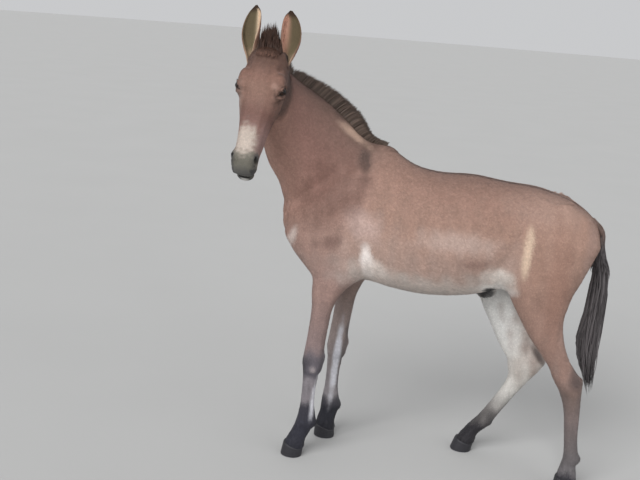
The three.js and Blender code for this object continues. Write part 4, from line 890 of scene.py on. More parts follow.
class Lie:
    """How the coat lies: its direction, length and thickness by place."""

    # For trunk, neck, head and limbs, in the order of Region.
    flows = ((1.0, 0, -0.42), (0.66, 0, -0.75), (0, 0, 0), *[(0.06, 0, -1)] * 4)
    lengths = (13.0, 12.0, 6.5, *[9.0] * 4)
    depths = (3.4, 3.2, 1.6, *[2.2] * 4)

    def directions(self, points: Array, normals: Array) -> Array:
        """The direction of the hair, along the skin.

        Args:
            points: places in the body's frame.
            normals: the skin's normals there.

        Returns:
            One direction for each.
        """
        weights = MULE.shares(points, 22)
        local = MULE.head_frame.to_local(points)
        sideways = 0.35 * np.sign(local[:, 2]) * smooth(50, 90, local[:, 0])
        face = np.stack([0.7 + 0 * local[:, 0], -0.6 * smooth(10, -60, local[:, 1]), sideways], axis=1)
        face = face @ MULE.head_frame.axes
        flow = weights @ np.array(self.flows, float) + weights[:, 2:3] * face
        flow[:, 1] += 0.12 * ripple(points, 90, 8)
        flow[:, 2] += 0.12 * ripple(points, 70, 9)
        return unit(flow - (flow * normals).sum(axis=1, keepdims=True) * normals)

    def length(self, points: Array) -> Array:
        """Length of the coat at each point, in millimetres.

        Args:
            points: places in the body's frame, in millimetres.

        Returns:
            One length for each.
        """
        weights = MULE.shares(points, 14)
        length = weights @ np.array(self.lengths)
        local = MULE.head_frame.to_local(points)
        on_head = weights[:, 2]
        length += on_head * (4 * smooth(-90, -150, local[:, 1]) - 3.2 * smooth(290, 330, local[:, 0]))
        _, trunk_u, _, _ = MULE.trunk.locate(points)
        length += 4 * weights[:, 0] * smooth(-0.6, -1, trunk_u)
        length += 4 * smooth(170, 120, points[:, 2])
        return length

    def depth(self, points: Array) -> Array:
        """How far inside the solids' surface the skin lies, in millimetres.

        Args:
            points: places in the body's frame, in millimetres.

        Returns:
            One depth for each.
        """
        weights = MULE.shares(points, 14)
        return weights @ np.array(self.depths) + 7 * smooth(40, 26, points[:, 2])


LIE = Lie()


class Unwrap:
    """Lays the skin out flat: each region is cut open along a line and set in its own field."""

    fields = {
        Region.TRUNK: (0.01, 0.01, 0.52, 0.60), Region.NECK: (0.01, 0.64, 0.35, 0.34),
        Region.HEAD: (0.38, 0.64, 0.35, 0.34), Region.FORELEG_LEFT: (0.56, 0.01, 0.20, 0.30),
        Region.FORELEG_RIGHT: (0.78, 0.01, 0.20, 0.30), Region.HINDLEG_LEFT: (0.56, 0.32, 0.20, 0.30),
        Region.HINDLEG_RIGHT: (0.78, 0.32, 0.20, 0.30),
    }

    @staticmethod
    def body_of(region: Region) -> SectionBody:
        """The sections that a region is wrapped round."""
        plain = {Region.TRUNK: MULE.trunk, Region.NECK: MULE.neck, Region.HEAD: MULE.head}
        return plain[region] if region in plain else MULE.limbs[region.name.lower()]

    def turn_and_run(self, points: Array, region: Region) -> tuple[Array, Array]:
        """The turn round a region from 0 to 1, and the share of its length.

        Args:
            points: places in the body's frame, in millimetres.
            region: the region.

        Returns:
            Both, for each place.
        """
        places = MULE.head_frame.to_local(points) if region is Region.HEAD else points
        body = self.body_of(region)
        along, u, v, _ = body.locate(places)
        turn = np.arctan2(v, u) / (2 * math.pi) + 0.5
        return turn, np.clip((along - body.at[0]) / (body.at[-1] - body.at[0]), 0, 1)

    def flatten(self, points: Array, region: Region, centres: Optional[Array] = None) -> Array:
        """Places on the flat layout.

        Args:
            points: places in the body's frame.
            region: the region that they belong to.
            centres: the middle of the face of each, so that no face is torn by the cut.

        Returns:
            Two numbers for each point.
        """
        turn, run = self.turn_and_run(points, region)
        if centres is not None:
            middle, _ = self.turn_and_run(centres, region)
            turn = turn - np.round(turn - middle)
        left, low, wide, high = self.fields[region]
        return np.stack([left + wide * np.clip(turn, 0, 1), low + high * run], axis=1)

    @staticmethod
    def regions(points: Array) -> Array:
        """The number of the region that each point belongs to."""
        return MULE.region_distances(points).argmin(axis=1)


UNWRAP = Unwrap()


@dataclass
class Surface:
    """Points and faces, with what the materials read at each point."""

    points: Array
    faces: Array
    values: dict[str, Array]
    maps: dict[str, Array]


def link(name: str, data: bpy.types.ID) -> bpy.types.Object:
    """Makes an object of some data and links it to the scene.

    Args:
        name: its name.
        data: its mesh, lamp or camera.

    Returns:
        The object.
    """
    made = bpy.data.objects.new(name, data)
    bpy.context.scene.collection.objects.link(made)
    return made


def face_outwards(made: bpy.types.Object) -> bpy.types.Object:
    """Turns every face of a closed piece outwards.

    Args:
        made: the piece.

    Returns:
        The same piece.
    """
    work = bmesh.new()
    work.from_mesh(made.data)
    bmesh.ops.recalc_face_normals(work, faces=work.faces)
    work.to_mesh(made.data)
    work.free()
    return made


# How a point's value is kept on a mesh, by how many numbers it has.
VALUE_KINDS = {1: ("FLOAT", "value"), 3: ("FLOAT_VECTOR", "vector"), 4: ("FLOAT_COLOR", "color")}


def keep(mesh: bpy.types.Mesh, key: str, value: Array) -> None:
    """Keeps a named value for each point of a mesh.

    Args:
        mesh: the mesh.
        key: the value's name.
        value: one number or row for each point.
    """
    kind, field_name = VALUE_KINDS[1 if value.ndim == 1 else value.shape[1]]
    attribute = mesh.attributes.new(key, kind, "POINT")
    attribute.data.foreach_set(field_name, value.astype(np.float32).ravel())


def make_object(name: str, surface: Surface, material: bpy.types.Material) -> bpy.types.Object:
    """Makes an object at the origin from points in the body's frame.

    Args:
        name: its name.
        surface: its points, faces, point values and corner maps.
        material: its finish.

    Returns:
        The object, linked to the scene.
    """
    mesh = bpy.data.meshes.new(name)
    mesh.from_pydata(BEARINGS.to_model(surface.points).tolist(), [], [list(face) for face in surface.faces])
    for key, value in surface.values.items():
        keep(mesh, key, value)
    for key, value in surface.maps.items():
        layer = mesh.uv_layers.new(name=key, do_init=False)
        layer.data.foreach_set("uv", value.astype(np.float32).ravel())
    mesh.materials.append(material)
    mesh.polygons.foreach_set("use_smooth", [True] * len(mesh.polygons))
    mesh.update()
    return link(name, mesh)


def opaque(colours: Array) -> Array:
    """Colours with a fourth channel of one."""
    return np.concatenate([colours, np.ones((len(colours), 1))], axis=1)


class Layout:
    """A short way to lay out the nodes of a tree."""

    tree: bpy.types.NodeTree

    def add(self, kind: str, links: Optional[dict] = None, **settings: object) -> bpy.types.Node:
        """Adds a node.

        Args:
            kind: its type.
            links: what goes into its sockets, as values or other sockets.
            settings: its own properties.

        Returns:
            The node.
        """
        node = self.tree.nodes.new(kind)
        for key, value in settings.items():
            setattr(node, key, value)
        for key, value in (links or {}).items():
            self.feed(self.live(node.inputs, key), value)
        return node

    def feed(self, socket: bpy.types.NodeSocket, value: object) -> None:
        """Links a socket to another one, or sets its value.

        Args:
            socket: the one that is fed.
            value: a socket or a plain value.
        """
        if isinstance(value, bpy.types.NodeSocket):
            self.tree.links.new(value, socket)
        else:
            socket.default_value = value

    @staticmethod
    def live(sockets: Sequence, key: object) -> bpy.types.NodeSocket:
        """The socket in use with a name or number.

        Args:
            sockets: the sockets of a node.
            key: its name or number.

        Returns:
            The socket.
        """
        if isinstance(key, int):
            return sockets[key]
        return next(socket for socket in sockets if socket.name == key and socket.enabled)


class NodeSheet(Layout):
    """The shader nodes of one material."""

    def __init__(self, name: str) -> None:
        """Starts a material with only a surface shader.

        Args:
            name: the material's name.
        """
        self.material = bpy.data.materials.new(name)
        self.material.use_nodes = True
        self.tree = self.material.node_tree
        self.shader = self.tree.nodes["Principled BSDF"]

    def markings(self) -> bpy.types.NodeSocket:
        """The colour kept on the mesh."""
        return self.add("ShaderNodeAttribute", attribute_name="markings").outputs["Color"]

    def value(self, name: str) -> bpy.types.NodeSocket:
        """A value kept on the mesh."""
        return self.add("ShaderNodeAttribute", attribute_name=name).outputs["Fac"]

    def place(self) -> bpy.types.NodeSocket:
        """Places on the model."""
        return self.add("ShaderNodeTexCoord").outputs["Object"]

    def noise(self, scale: float, detail: float, vector: bpy.types.NodeSocket) -> bpy.types.NodeSocket:
        """Noise read at given coordinates."""
        return self.add("ShaderNodeTexNoise",
                        {"Scale": scale, "Detail": detail, "Vector": vector}).outputs["Fac"]

    def stretched(self, source: bpy.types.NodeSocket, scale: Colour) -> bpy.types.NodeSocket:
        """Coordinates scaled differently along each axis."""
        return self.add("ShaderNodeMapping", {"Vector": source, "Scale": scale}).outputs["Vector"]

    def spread(self, value: bpy.types.NodeSocket, low: float, high: float) -> bpy.types.NodeSocket:
        """Turns a value from 0 to 1 into one from low to high."""
        return self.add("ShaderNodeMapRange",
                        {"Value": value, "To Min": low, "To Max": high}).outputs["Result"]

    def times(self, colour: bpy.types.NodeSocket, factor: bpy.types.NodeSocket) -> bpy.types.NodeSocket:
        """A colour made lighter or darker by a factor.

        Args:
            colour: the colour.
            factor: the factor.

        Returns:
            The new colour.
        """
        scaled = self.add("ShaderNodeVectorMath", {0: colour}, operation="SCALE")
        self.tree.links.new(factor, scaled.inputs["Scale"])
        return scaled.outputs["Vector"]

    def bump(self, height: bpy.types.NodeSocket, distance: float, strength: float = 1.0) -> None:
        """Sends a height to the shader as bump."""
        node = self.add("ShaderNodeBump", {"Height": height, "Distance": distance, "Strength": strength})
        self.tree.links.new(node.outputs["Normal"], self.shader.inputs["Normal"])

    def set(self, **values: object) -> None:
        """Sets or links the shader's sockets; an underscore stands for a space."""
        for key, value in values.items():
            self.feed(self.shader.inputs[key.replace("_", " ")], value)


@dataclass(frozen=True)
class SkinFinish:
    """Skin with short hair lying flat on it: streaks along the lie, and their bump."""

    name: str = "coat_skin"
    roughness: float = 0.78
    sheen: float = 0.12
    bump: float = 0.0012
    streak: Colour = (900, 160, 1)
    dark: float = 0.8
    light: float = 1.12

    def build(self) -> bpy.types.Material:
        """The material.

        Returns:
            The skin's material.
        """
        sheet = NodeSheet(self.name)
        place = sheet.place()
        flat = sheet.add("ShaderNodeUVMap", uv_map="SkinMap").outputs["UV"]
        streaks = sheet.noise(1.0, 4.0, sheet.stretched(flat, self.streak))
        mottle = sheet.noise(38.0, 5.0, place)
        base = sheet.times(sheet.markings(), sheet.spread(streaks, self.dark, self.light))
        base = sheet.times(base, sheet.spread(mottle, 0.93, 1.06))
        sheet.set(Base_Color=base, Roughness=self.roughness, Sheen_Weight=self.sheen, Sheen_Roughness=0.5,
                  Specular_IOR_Level=0.25)
        sheet.bump(streaks, self.bump, 0.7)
        return sheet.material


@dataclass(frozen=True)
class TuftFinish:
    """Short hair in tufts, each a little lighter or darker than its neighbour."""

    name: str = "coat_tufts"
    roughness: float = 0.62
    low: float = 0.89
    high: float = 1.13

    def build(self) -> bpy.types.Material:
        """The material.

        Returns:
            The tufts' material.
        """
        sheet = NodeSheet(self.name)
        tone = sheet.spread(sheet.value("tone"), self.low, self.high)
        tip = sheet.spread(sheet.value("run"), 0.95, 1.06)
        place = sheet.place()
        mottle = sheet.spread(sheet.noise(45.0, 3.0, place), 0.94, 1.06)
        strands = sheet.add("ShaderNodeMath", {0: sheet.value("strand"), 1: 4.0}, operation="MULTIPLY")
        shift = sheet.add("ShaderNodeMath", {0: sheet.value("tone"), 1: 90.0, 2: strands.outputs[0]},
                          operation="MULTIPLY_ADD")
        hairs = sheet.add("ShaderNodeTexNoise", {"W": shift.outputs[0], "Scale": 1.0, "Detail": 1.0},
                          noise_dimensions="1D")
        base = sheet.times(sheet.times(sheet.markings(), tone), tip)
        base = sheet.times(base, sheet.spread(hairs.outputs["Fac"], 0.8, 1.22))
        sheet.set(Base_Color=sheet.times(base, mottle), Roughness=self.roughness, Sheen_Weight=0.1,
                  Sheen_Roughness=0.5, Specular_IOR_Level=0.3)
        return sheet.material


@dataclass(frozen=True)
class LockFinish:
    """Long hair in locks, streaked along their length."""

    name: str = "long_hair"
    roughness: float = 0.5
    tones: tuple[float, float] = (0.78, 1.22)
    streaks: tuple[float, float] = (0.7, 1.3)
    gloss: float = 0.25

    def build(self) -> bpy.types.Material:
        """The material.

        Returns:
            The locks' material.
        """
        sheet = NodeSheet(self.name)
        strand = sheet.add("ShaderNodeUVMap", uv_map="Strand").outputs["UV"]
        streaks = sheet.noise(1.0, 3.0, sheet.stretched(strand, (26, 2.2, 1)))
        tone = sheet.spread(sheet.value("tone"), *self.tones)
        tip = sheet.spread(sheet.value("run"), 0.9, 1.1)
        base = sheet.times(sheet.times(sheet.markings(), tone), tip)
        base = sheet.times(base, sheet.spread(streaks, *self.streaks))
        sheet.set(Base_Color=base, Roughness=self.roughness, Anisotropic=0.5, Specular_IOR_Level=self.gloss)
        sheet.bump(streaks, 0.0006, 0.8)
        return sheet.material


@dataclass(frozen=True)
class HornFinish:
    """Hoof horn: dark, with rings of growth and fine upright grain."""

    def build(self) -> bpy.types.Material:
        """The material.

        Returns:
            The hooves' material.
        """
        sheet = NodeSheet("hoof_horn")
        place = sheet.place()
        rings = sheet.noise(1.0, 3.0, sheet.stretched(place, (12, 12, 420)))
        grain = sheet.noise(1.0, 4.0, sheet.stretched(place, (700, 700, 60)))
        dust = sheet.noise(30.0, 4.0, place)
        base = sheet.times(sheet.markings(), sheet.spread(rings, 0.7, 1.35))
        base = sheet.times(base, sheet.spread(grain, 0.8, 1.2))
        base = sheet.times(base, sheet.spread(dust, 0.8, 1.3))
        sheet.set(Base_Color=base, Roughness=sheet.spread(dust, 0.42, 0.68))
        sheet.bump(sheet.add("ShaderNodeMath", {0: rings, 1: grain}, operation="ADD").outputs[0], 0.0006)
        return sheet.material


@dataclass(frozen=True)
class EyeFinish:
    """The wet eyeball: dark iris, level pupil, and a glossy coat."""

    def build(self) -> bpy.types.Material:
        """The material.

        Returns:
            The eyes' material.
        """
        sheet = NodeSheet("eye_wet")
        place = sheet.place()
        fibres = sheet.spread(sheet.noise(900.0, 4.0, place), 0.75, 1.3)
        base = sheet.times(sheet.markings(), fibres)
        sheet.set(Base_Color=base, Roughness=0.18, Coat_Weight=0.15, Coat_Roughness=0.03,
                  Specular_IOR_Level=0.18)
        return sheet.material


@dataclass(frozen=True)
class FloorFinish:
    """A plain pale studio floor."""

    colour: Colour = (172, 172, 171)

    def build(self) -> bpy.types.Material:
        """The material.

        Returns:
            The floor's material.
        """
        sheet = NodeSheet("studio_floor")
        place = sheet.place()
        cloud = sheet.spread(sheet.noise(1.4, 3.0, place), 0.97, 1.03)
        plain = sheet.add("ShaderNodeRGB")
        plain.outputs[0].default_value = (*linear(self.colour), 1)
        sheet.set(Base_Color=sheet.times(plain.outputs[0], cloud), Roughness=0.9)
        return sheet.material


def eye_axes(sign: int) -> tuple[Array, Array]:
    """Where an eye is and how it is turned.

    Args:
        sign: -1 for the left eye and 1 for the right.

    Returns:
        Its centre, and the directions to its inner corner, across that line, and outwards, as rows.
    """
    head = MULE.head_frame
    look = head.direction(0.04, 0.46, sign * 0.88)
    centre = head.point(ORBIT[0], ORBIT[1], sign * ORBIT[2]) + look * 4.2
    corner = head.direction(0.8, 0.6, 0)
    corner = unit(corner - look * (corner @ look))
    return centre, np.array([corner, np.cross(look, corner), look])


@dataclass
class EyeOpening:
    """The almond between the lids, and the lids that lie on the ball round it."""

    sign: int
    long: float = 17.5
    upper: float = 8.0
    lower: float = 6.4
    lid: float = 2.2

    def inside(self, local: Array) -> Array:
        """How far inside the opening points lie, in millimetres; below zero outside it.

        Args:
            local: points in the eye's own frame.

        Returns:
            One number for each.
        """
        across = np.clip(1 - (local[:, 0] / self.long) ** 2, 0, 1)
        rise = local[:, 1] * self.sign
        high, low = self.upper * across ** 0.72, self.lower * across ** 0.85
        beyond = np.maximum(np.abs(local[:, 0]) - self.long, 0)
        return np.minimum(high - rise, rise + low) - beyond * 0.6

    def around(self, points: Array) -> tuple[Array, Array]:
        """How far inside the opening points of the body lie, and which of them the lids reach.

        Args:
            points: places in the body's frame, in millimetres.

        Returns:
            Both, for each place.
        """
        centre, axes = eye_axes(self.sign)
        return self.inside((points - centre) @ axes.T), np.linalg.norm(points - centre, axis=1) < LID_REACH

    def shape(self, points: Array) -> Array:
        """Lays the skin over the ball and opens the lids.

        Args:
            points: the skin's points in the body's frame.

        Returns:
            The moved points.
        """
        centre, axes = eye_axes(self.sign)
        local = (points - centre) @ axes.T
        flat = np.hypot(local[:, 0], local[:, 1])
        near = (flat < LID_REACH) & (local[:, 2] > 0) & (local[:, 2] < 40)
        part = local[near]
        gap = self.inside(part)
        square = flat[near] ** 2
        over = np.sqrt(np.maximum((EYE_RADIUS + self.lid) ** 2 - square, 9))
        under = np.sqrt(np.maximum((EYE_RADIUS - 4) ** 2 - square, 1))
        upper_side = part[:, 1] * self.sign > 0
        fold = np.where(upper_side, 1.5, 0.5) * np.exp(-((gap + np.where(upper_side, 5.5, 6.5)) / 1.5) ** 2)
        roll = 0.9 * np.exp(-((gap + 1.6) / 1.5) ** 2)
        hug = smooth(-11, -3.5, gap)
        height = part[:, 2] + (over - part[:, 2]) * hug - fold + roll
        height += (under - height) * smooth(-0.2, 1.1, gap)
        part[:, 2] = height
        local[near] = part
        return local @ axes + centre


@dataclass
class Nostril:
    """A slanted oval hollow in the side of the muzzle, with a soft wing over it."""

    sign: int
    long: float = 14.0
    narrow: float = 6.6
    deep: float = 15.0

    def shape(self, points: Array) -> Array:
        """Presses the hollow into the skin.

        Args:
            points: the skin's points in the body's frame.

        Returns:
            The moved points.
        """
        head = MULE.head_frame
        inward = head.direction(-0.5, -0.42, -self.sign * 0.76)
        slant = head.direction(0.72, -0.62, self.sign * 0.2)
        slant = unit(slant - inward * (slant @ inward))
        start = MULE.cast(head.point(340, -34, self.sign * 14), head.direction(0.1, 0.25, self.sign * 0.96))
        local = (points - start) @ np.array([slant, np.cross(inward, slant), inward]).T
        oval = np.hypot(local[:, 0] / self.long, (local[:, 1] + 0.012 * local[:, 0] ** 2 - 1) / self.narrow)
        near = np.abs(local[:, 2]) < 14
        pressed = self.deep * smooth(1.12, 0.5, oval) - 1.6 * np.exp(-((oval - 1.45) / 0.3) ** 2)
        return points + inward * (pressed * near)[:, None]


@dataclass
class Mouth:
    """The line between the lips, from corner to corner round the muzzle."""

    front: tuple[float, float] = (384, -77)
    corner: tuple[float, float] = (334, -88)
    deep: float = 4.6

    def measure(self, local: Array) -> tuple[Array, Array]:
        """How far points of the head's frame lie along the line and beside it.

        Args:
            local: the points.

        Returns:
            Both, for each point.
        """
        run = unit(np.array(self.front) - np.array(self.corner))
        moved = local[:, :2] - self.corner
        return moved @ run, moved @ np.array([-run[1], run[0]])

    def shape(self, points: Array) -> Array:
        """Presses the line into the skin.

        Args:
            points: the skin's points in the body's frame.

        Returns:
            The moved points.
        """
        local = MULE.head_frame.to_local(points)
        along, beside = self.measure(local)
        mine = np.flatnonzero((along > -4) & (local[:, 0] < 420) & (np.abs(beside) < 14)
                              & (MULE.skull(points) < 12))
        along, beside = along[mine], beside[mine]
        slot = self.deep * np.exp(-(beside / 1.4) ** 2) - 1.3 * np.exp(-((np.abs(beside) - 4.6) / 2.2) ** 2)
        inward = -unit(MULE.gradient(points[mine], MULE.skull))
        moved_points = points.copy()
        moved_points[mine] += inward * (slot * smooth(-4, 5, along))[:, None]
        return moved_points


@dataclass
class Skin:
    """The one skin of the animal, from a coarse cast drawn onto the body and refined where it matters."""

    voxel: float = 8.5
    spacing: float = 12.0
    segments: int = 36
    inset: float = 5.0
    ball_rings: int = 10
    ball_segments: int = 20

    def parts(self) -> list[tuple[Array, list[list[int]], bool]]:
        """The tubes and swellings of the cast.

        Returns:
            The points and faces of each, and whether they are in the head's frame.
        """
        parts = [(*body.tube(self.spacing, self.segments, self.inset), body is MULE.head)
                 for body in (MULE.trunk, MULE.neck, MULE.head, *MULE.limbs.values())]
        faces = ring_faces(self.ball_rings, self.ball_segments)
        parts.append((self.ball(SHEATH[0], np.array(SHEATH[1]) - 3), faces, False))
        for centre, radii, _ in HEAD_MIDDLE:
            parts.append((self.ball(centre, np.array(radii) - 3), faces, True))
        return parts

    def coarse(self) -> bpy.types.Object:
        """The joined, evenly meshed cast of all the bodies.

        Returns:
            The cast as an object.
        """
        points, faces, start = [], [], 0
        for own_points, own_faces, on_head in self.parts():
            points.append(MULE.head_frame.to_body(own_points) if on_head else own_points)
            faces += [[index + start for index in face] for face in own_faces]
            start += len(own_points)
        mesh = bpy.data.meshes.new("skin")
        mesh.from_pydata(BEARINGS.to_model(np.concatenate(points)).tolist(), [], faces)
        cast = link("skin", mesh)
        remesh = cast.modifiers.new("even", "REMESH")
        remesh.mode, remesh.voxel_size = "VOXEL", self.voxel * MM
        bpy.context.view_layer.update()
        graph = bpy.context.evaluated_depsgraph_get()
        even = bpy.data.meshes.new_from_object(cast.evaluated_get(graph))
        cast.modifiers.clear()
        cast.data = even
        return cast

    def ball(self, centre: Sequence[float], radii: Array) -> Array:
        """Rings of points over a rounded swelling.

        Args:
            centre: its middle.
            radii: its three radii.

        Returns:
            The points, ring by ring.
        """
        steps = np.linspace(0.2, math.pi - 0.2, self.ball_rings)
        turns = even_turns(self.ball_segments)
        polar, turn = np.meshgrid(steps, turns, indexing="ij")
        around, aside = np.sin(polar) * np.cos(turn), np.sin(polar) * np.sin(turn)
        return np.stack([np.cos(polar), around, aside], axis=-1).reshape(-1, 3) * radii + centre

    @staticmethod
    def draw_on(points: Array, passes: int) -> Array:
        """Draws points onto the skin's surface, inside the body by the coat's depth.

        Args:
            points: places in the body's frame, in millimetres.
            passes: how many steps they take.

        Returns:
            The moved points.
        """
        for turn in range(passes):
            if turn % 3 == 0:
                target = MULE.relief(points) - LIE.depth(points)
                slope = MULE.gradient(points, MULE.flesh)
                steep = np.maximum((slope ** 2).sum(axis=1), 0.25)
            step = (MULE.flesh(points) - target) / steep
            points = points - np.clip(step, -8, 8)[:, None] * slope
        return points

    @staticmethod
    def fineness(points: Array) -> Array:
        """How many times the mesh is split at each place.

        Args:
            points: places in the body's frame, in millimetres.

        Returns:
            A number from 0 to 3 for each.
        """
        local = MULE.head_frame.to_local(points)
        on_head = MULE.skull(points) < 14
        level = np.where(on_head & (local[:, 0] > -30), 1, 0)
        level = np.where(points[:, 2] < 440, np.maximum(level, 1), level)
        muzzle = on_head & (local[:, 0] > 300)
        eyes = np.full(len(points), 1e9)
        for sign in (-1, 1):
            centre, _ = eye_axes(sign)
            eyes = np.minimum(eyes, np.linalg.norm(points - centre, axis=1))
        level = np.where(muzzle | (eyes < 46), 2, level)
        lips = on_head & (local[:, 0] > 322) & (local[:, 1] < -22)
        return np.where(lips | (eyes < LID_REACH), 3, level)

    def build(self) -> Surface:
        """Makes the skin.

        Returns:
            The finished surface in the body's frame, with its colours, lie, length and flat layout.
        """
        cast = self.coarse()
        mesh = cast.data
        for stage in range(4):
            work = bmesh.new()
            work.from_mesh(mesh)
            if stage:
                places = BEARINGS.to_body(np.array([face.calc_center_median() for face in work.faces]))
                wanted = self.fineness(places) >= stage
                split = [face for face, fine in zip(list(work.faces), wanted) if fine]
                edges = {edge for face in split for edge in face.edges}
                bmesh.ops.subdivide_edges(work, edges=list(edges), cuts=1, use_grid_fill=True)
            points = BEARINGS.to_body(np.array([vertex.co for vertex in work.verts]))
            points = self.draw_on(points, 6 if stage == 0 else 2)
            for _ in range(2 if stage < 2 else 0):
                points = self.draw_on(self.relax(work, points), 2)
            for vertex, place in zip(work.verts, BEARINGS.to_model(points)):
                vertex.co = place
            if stage == 3:
                bmesh.ops.triangulate(work, faces=[face for face in work.faces if len(face.verts) != 4])
            work.to_mesh(mesh)
            work.free()
        points = BEARINGS.to_body(self.read_points(mesh))
        normals = unit(MULE.gradient(points, MULE.flesh))
        colours, lie, length = MARKINGS.colours(points), LIE.directions(points, normals), LIE.length(points)
        bare = self.bareness(points)
        colours = self.shade_openings(points, colours)
        for shaper in (EyeOpening(-1), EyeOpening(1), Nostril(-1), Nostril(1), Mouth()):
            points = shaper.shape(points)
        faces = self.read_faces(mesh)
        bpy.data.objects.remove(cast)
        values = {"markings": opaque(colours), "lie": lie, "fur": length, "bare": bare}
        return Surface(points, faces, values, {"SkinMap": self.layout(points, faces)})

    @staticmethod
    def relax(work: bmesh.types.BMesh, points: Array) -> Array:
        """Evens out the mesh by moving each point towards the middle of its neighbours.

        Args:
            work: the mesh.
            points: its points in the body's frame.

        Returns:
            The moved points.
        """
        work.edges.ensure_lookup_table()
        work.verts.index_update()
        pairs = np.array([(edge.verts[0].index, edge.verts[1].index) for edge in work.edges])
        total, count = np.zeros_like(points), np.zeros(len(points))
        for first, second in ((0, 1), (1, 0)):
            np.add.at(total, pairs[:, first], points[pairs[:, second]])
            np.add.at(count, pairs[:, first], 1)
        return points + 0.5 * (total / np.maximum(count, 1)[:, None] - points)

    @staticmethod
    def read_points(mesh: bpy.types.Mesh) -> Array:
        """A mesh's points as an array.

        Args:
            mesh: the mesh.

        Returns:
            One row of three for each point.
        """
        flat = np.empty(len(mesh.vertices) * 3, np.float32)
        mesh.vertices.foreach_get("co", flat)
        return flat.reshape(-1, 3).astype(float)

    @staticmethod
    def read_faces(mesh: bpy.types.Mesh) -> Array:
        """A mesh's triangles as an array.

        Args:
            mesh: the mesh.

        Returns:
            Three point numbers for each.
        """
        mesh.calc_loop_triangles()
        flat = np.empty(len(mesh.loop_triangles) * 3, np.int32)
        mesh.loop_triangles.foreach_get("vertices", flat)
        return flat.reshape(-1, 3)

    @staticmethod
    def bareness(points: Array) -> Array:
        """Where no hair grows: the lips, the nostrils' rims, and between the lids.

        Args:
            points: places in the body's frame, in millimetres.

        Returns:
            From 0 in the coat to 1 where it is bare.
        """
        local = MULE.head_frame.to_local(points)
        bare = smooth(352, 372, local[:, 0]) * (MULE.skull(points) < 10)
        for sign in (-1, 1):
            gap, near = EyeOpening(sign).around(points)
            bare = np.maximum(bare, smooth(-3.4, -2.2, gap) * near)
            nostril = np.linalg.norm((local - (342, -36, sign * 34)) / (20, 13, 14), axis=1)
            bare = np.maximum(bare, smooth(1.1, 0.8, nostril))
        return np.maximum(bare, smooth(30, 22, points[:, 2]))

    @staticmethod
    def shade_openings(points: Array, colours: Array) -> Array:
        """Darkens the edges of the lids, and paints shade into the line of the mouth.

        Args:
            points: places in the body's frame, in millimetres.
            colours: the coat's colour there.

        Returns:
            The new colours.
        """
        local = MULE.head_frame.to_local(points)
        for sign in (-1, 1):
            gap, near = EyeOpening(sign).around(points)
            colours = tinted(colours, (30, 24, 22), smooth(-3.2, -1.2, gap) * near)
        # The mouth line is painted shade in the crease between the lips.
        along, beside = Mouth().measure(local)
        share = smooth(4.0, 1.6, np.abs(beside)) * smooth(-6, 4, along) * (MULE.skull(points) < 12)
        return tinted(colours, (26, 24, 26), share)

    @staticmethod
    def layout(points: Array, faces: Array) -> Array:
        """The flat layout of every face's corners.

        Args:
            points: the skin's points.
            faces: its triangles.

        Returns:
            Two numbers for each corner.
        """
        centres = points[faces].mean(axis=1)
        regions = UNWRAP.regions(centres)
        flat = np.zeros((len(faces), 3, 2))
        for region in Region:
            mine = regions == region.value
            corners = points[faces[mine]].reshape(-1, 3)
            middle = np.repeat(centres[mine], 3, axis=0)
            flat[mine] = UNWRAP.flatten(corners, region, middle).reshape(-1, 3, 2)
        return flat.reshape(-1, 2)


class CoatPiece(Enum):
    """The pieces that the coat is grown in, with tufts for each square metre and how far tips lift."""

    LEFT_SHOULDER = ("coat_left_shoulder", 35000, 5)
    LEFT_FLANK = ("coat_left_flank", 35000, 5)
    RIGHT_SHOULDER = ("coat_right_shoulder", 35000, 5)
    RIGHT_FLANK = ("coat_right_flank", 35000, 5)
    NECK = ("coat_neck", 36000, 5)
    HEAD_LEFT = ("coat_head_left", 95000, 4)
    HEAD_RIGHT = ("coat_head_right", 95000, 4)
    FORELEGS = ("coat_forelegs", 40000, 5)
    HINDLEGS = ("coat_hindlegs", 29000, 5)

    def __init__(self, title: str, density: float, lift: float) -> None:
        """Names the parts of a choice.

        Args:
            title: the piece's name.
            density: tufts for each square metre.
            lift: the greatest lift of a tuft, in degrees.
        """
        self.title = title
        self.density = density
        self.lift = lift

    @staticmethod
    def of_faces(centres: Array) -> Array:
        """Which piece each face of the skin belongs to, as numbers in the order of this list.

        Args:
            centres: the middle of each face.

        Returns:
            One number for each face.
        """
        regions = UNWRAP.regions(centres)
        local = MULE.head_frame.to_local(centres)
        order = np.where(centres[:, 1] < 0, 0, 2) + (centres[:, 0] > FLANK_START)
        order = np.where(regions == Region.NECK.value, 4, order)
        order = np.where(regions == Region.HEAD.value, np.where(local[:, 2] < 0, 5, 6), order)
        low = centres[:, 2] < LEG_TOP
        forelegs = (Region.FORELEG_LEFT.value, Region.FORELEG_RIGHT.value)
        hindlegs = (Region.HINDLEG_LEFT.value, Region.HINDLEG_RIGHT.value)
        order = np.where(np.isin(regions, forelegs) & low, 7, order)
        return np.where(np.isin(regions, hindlegs) & low, 8, order)


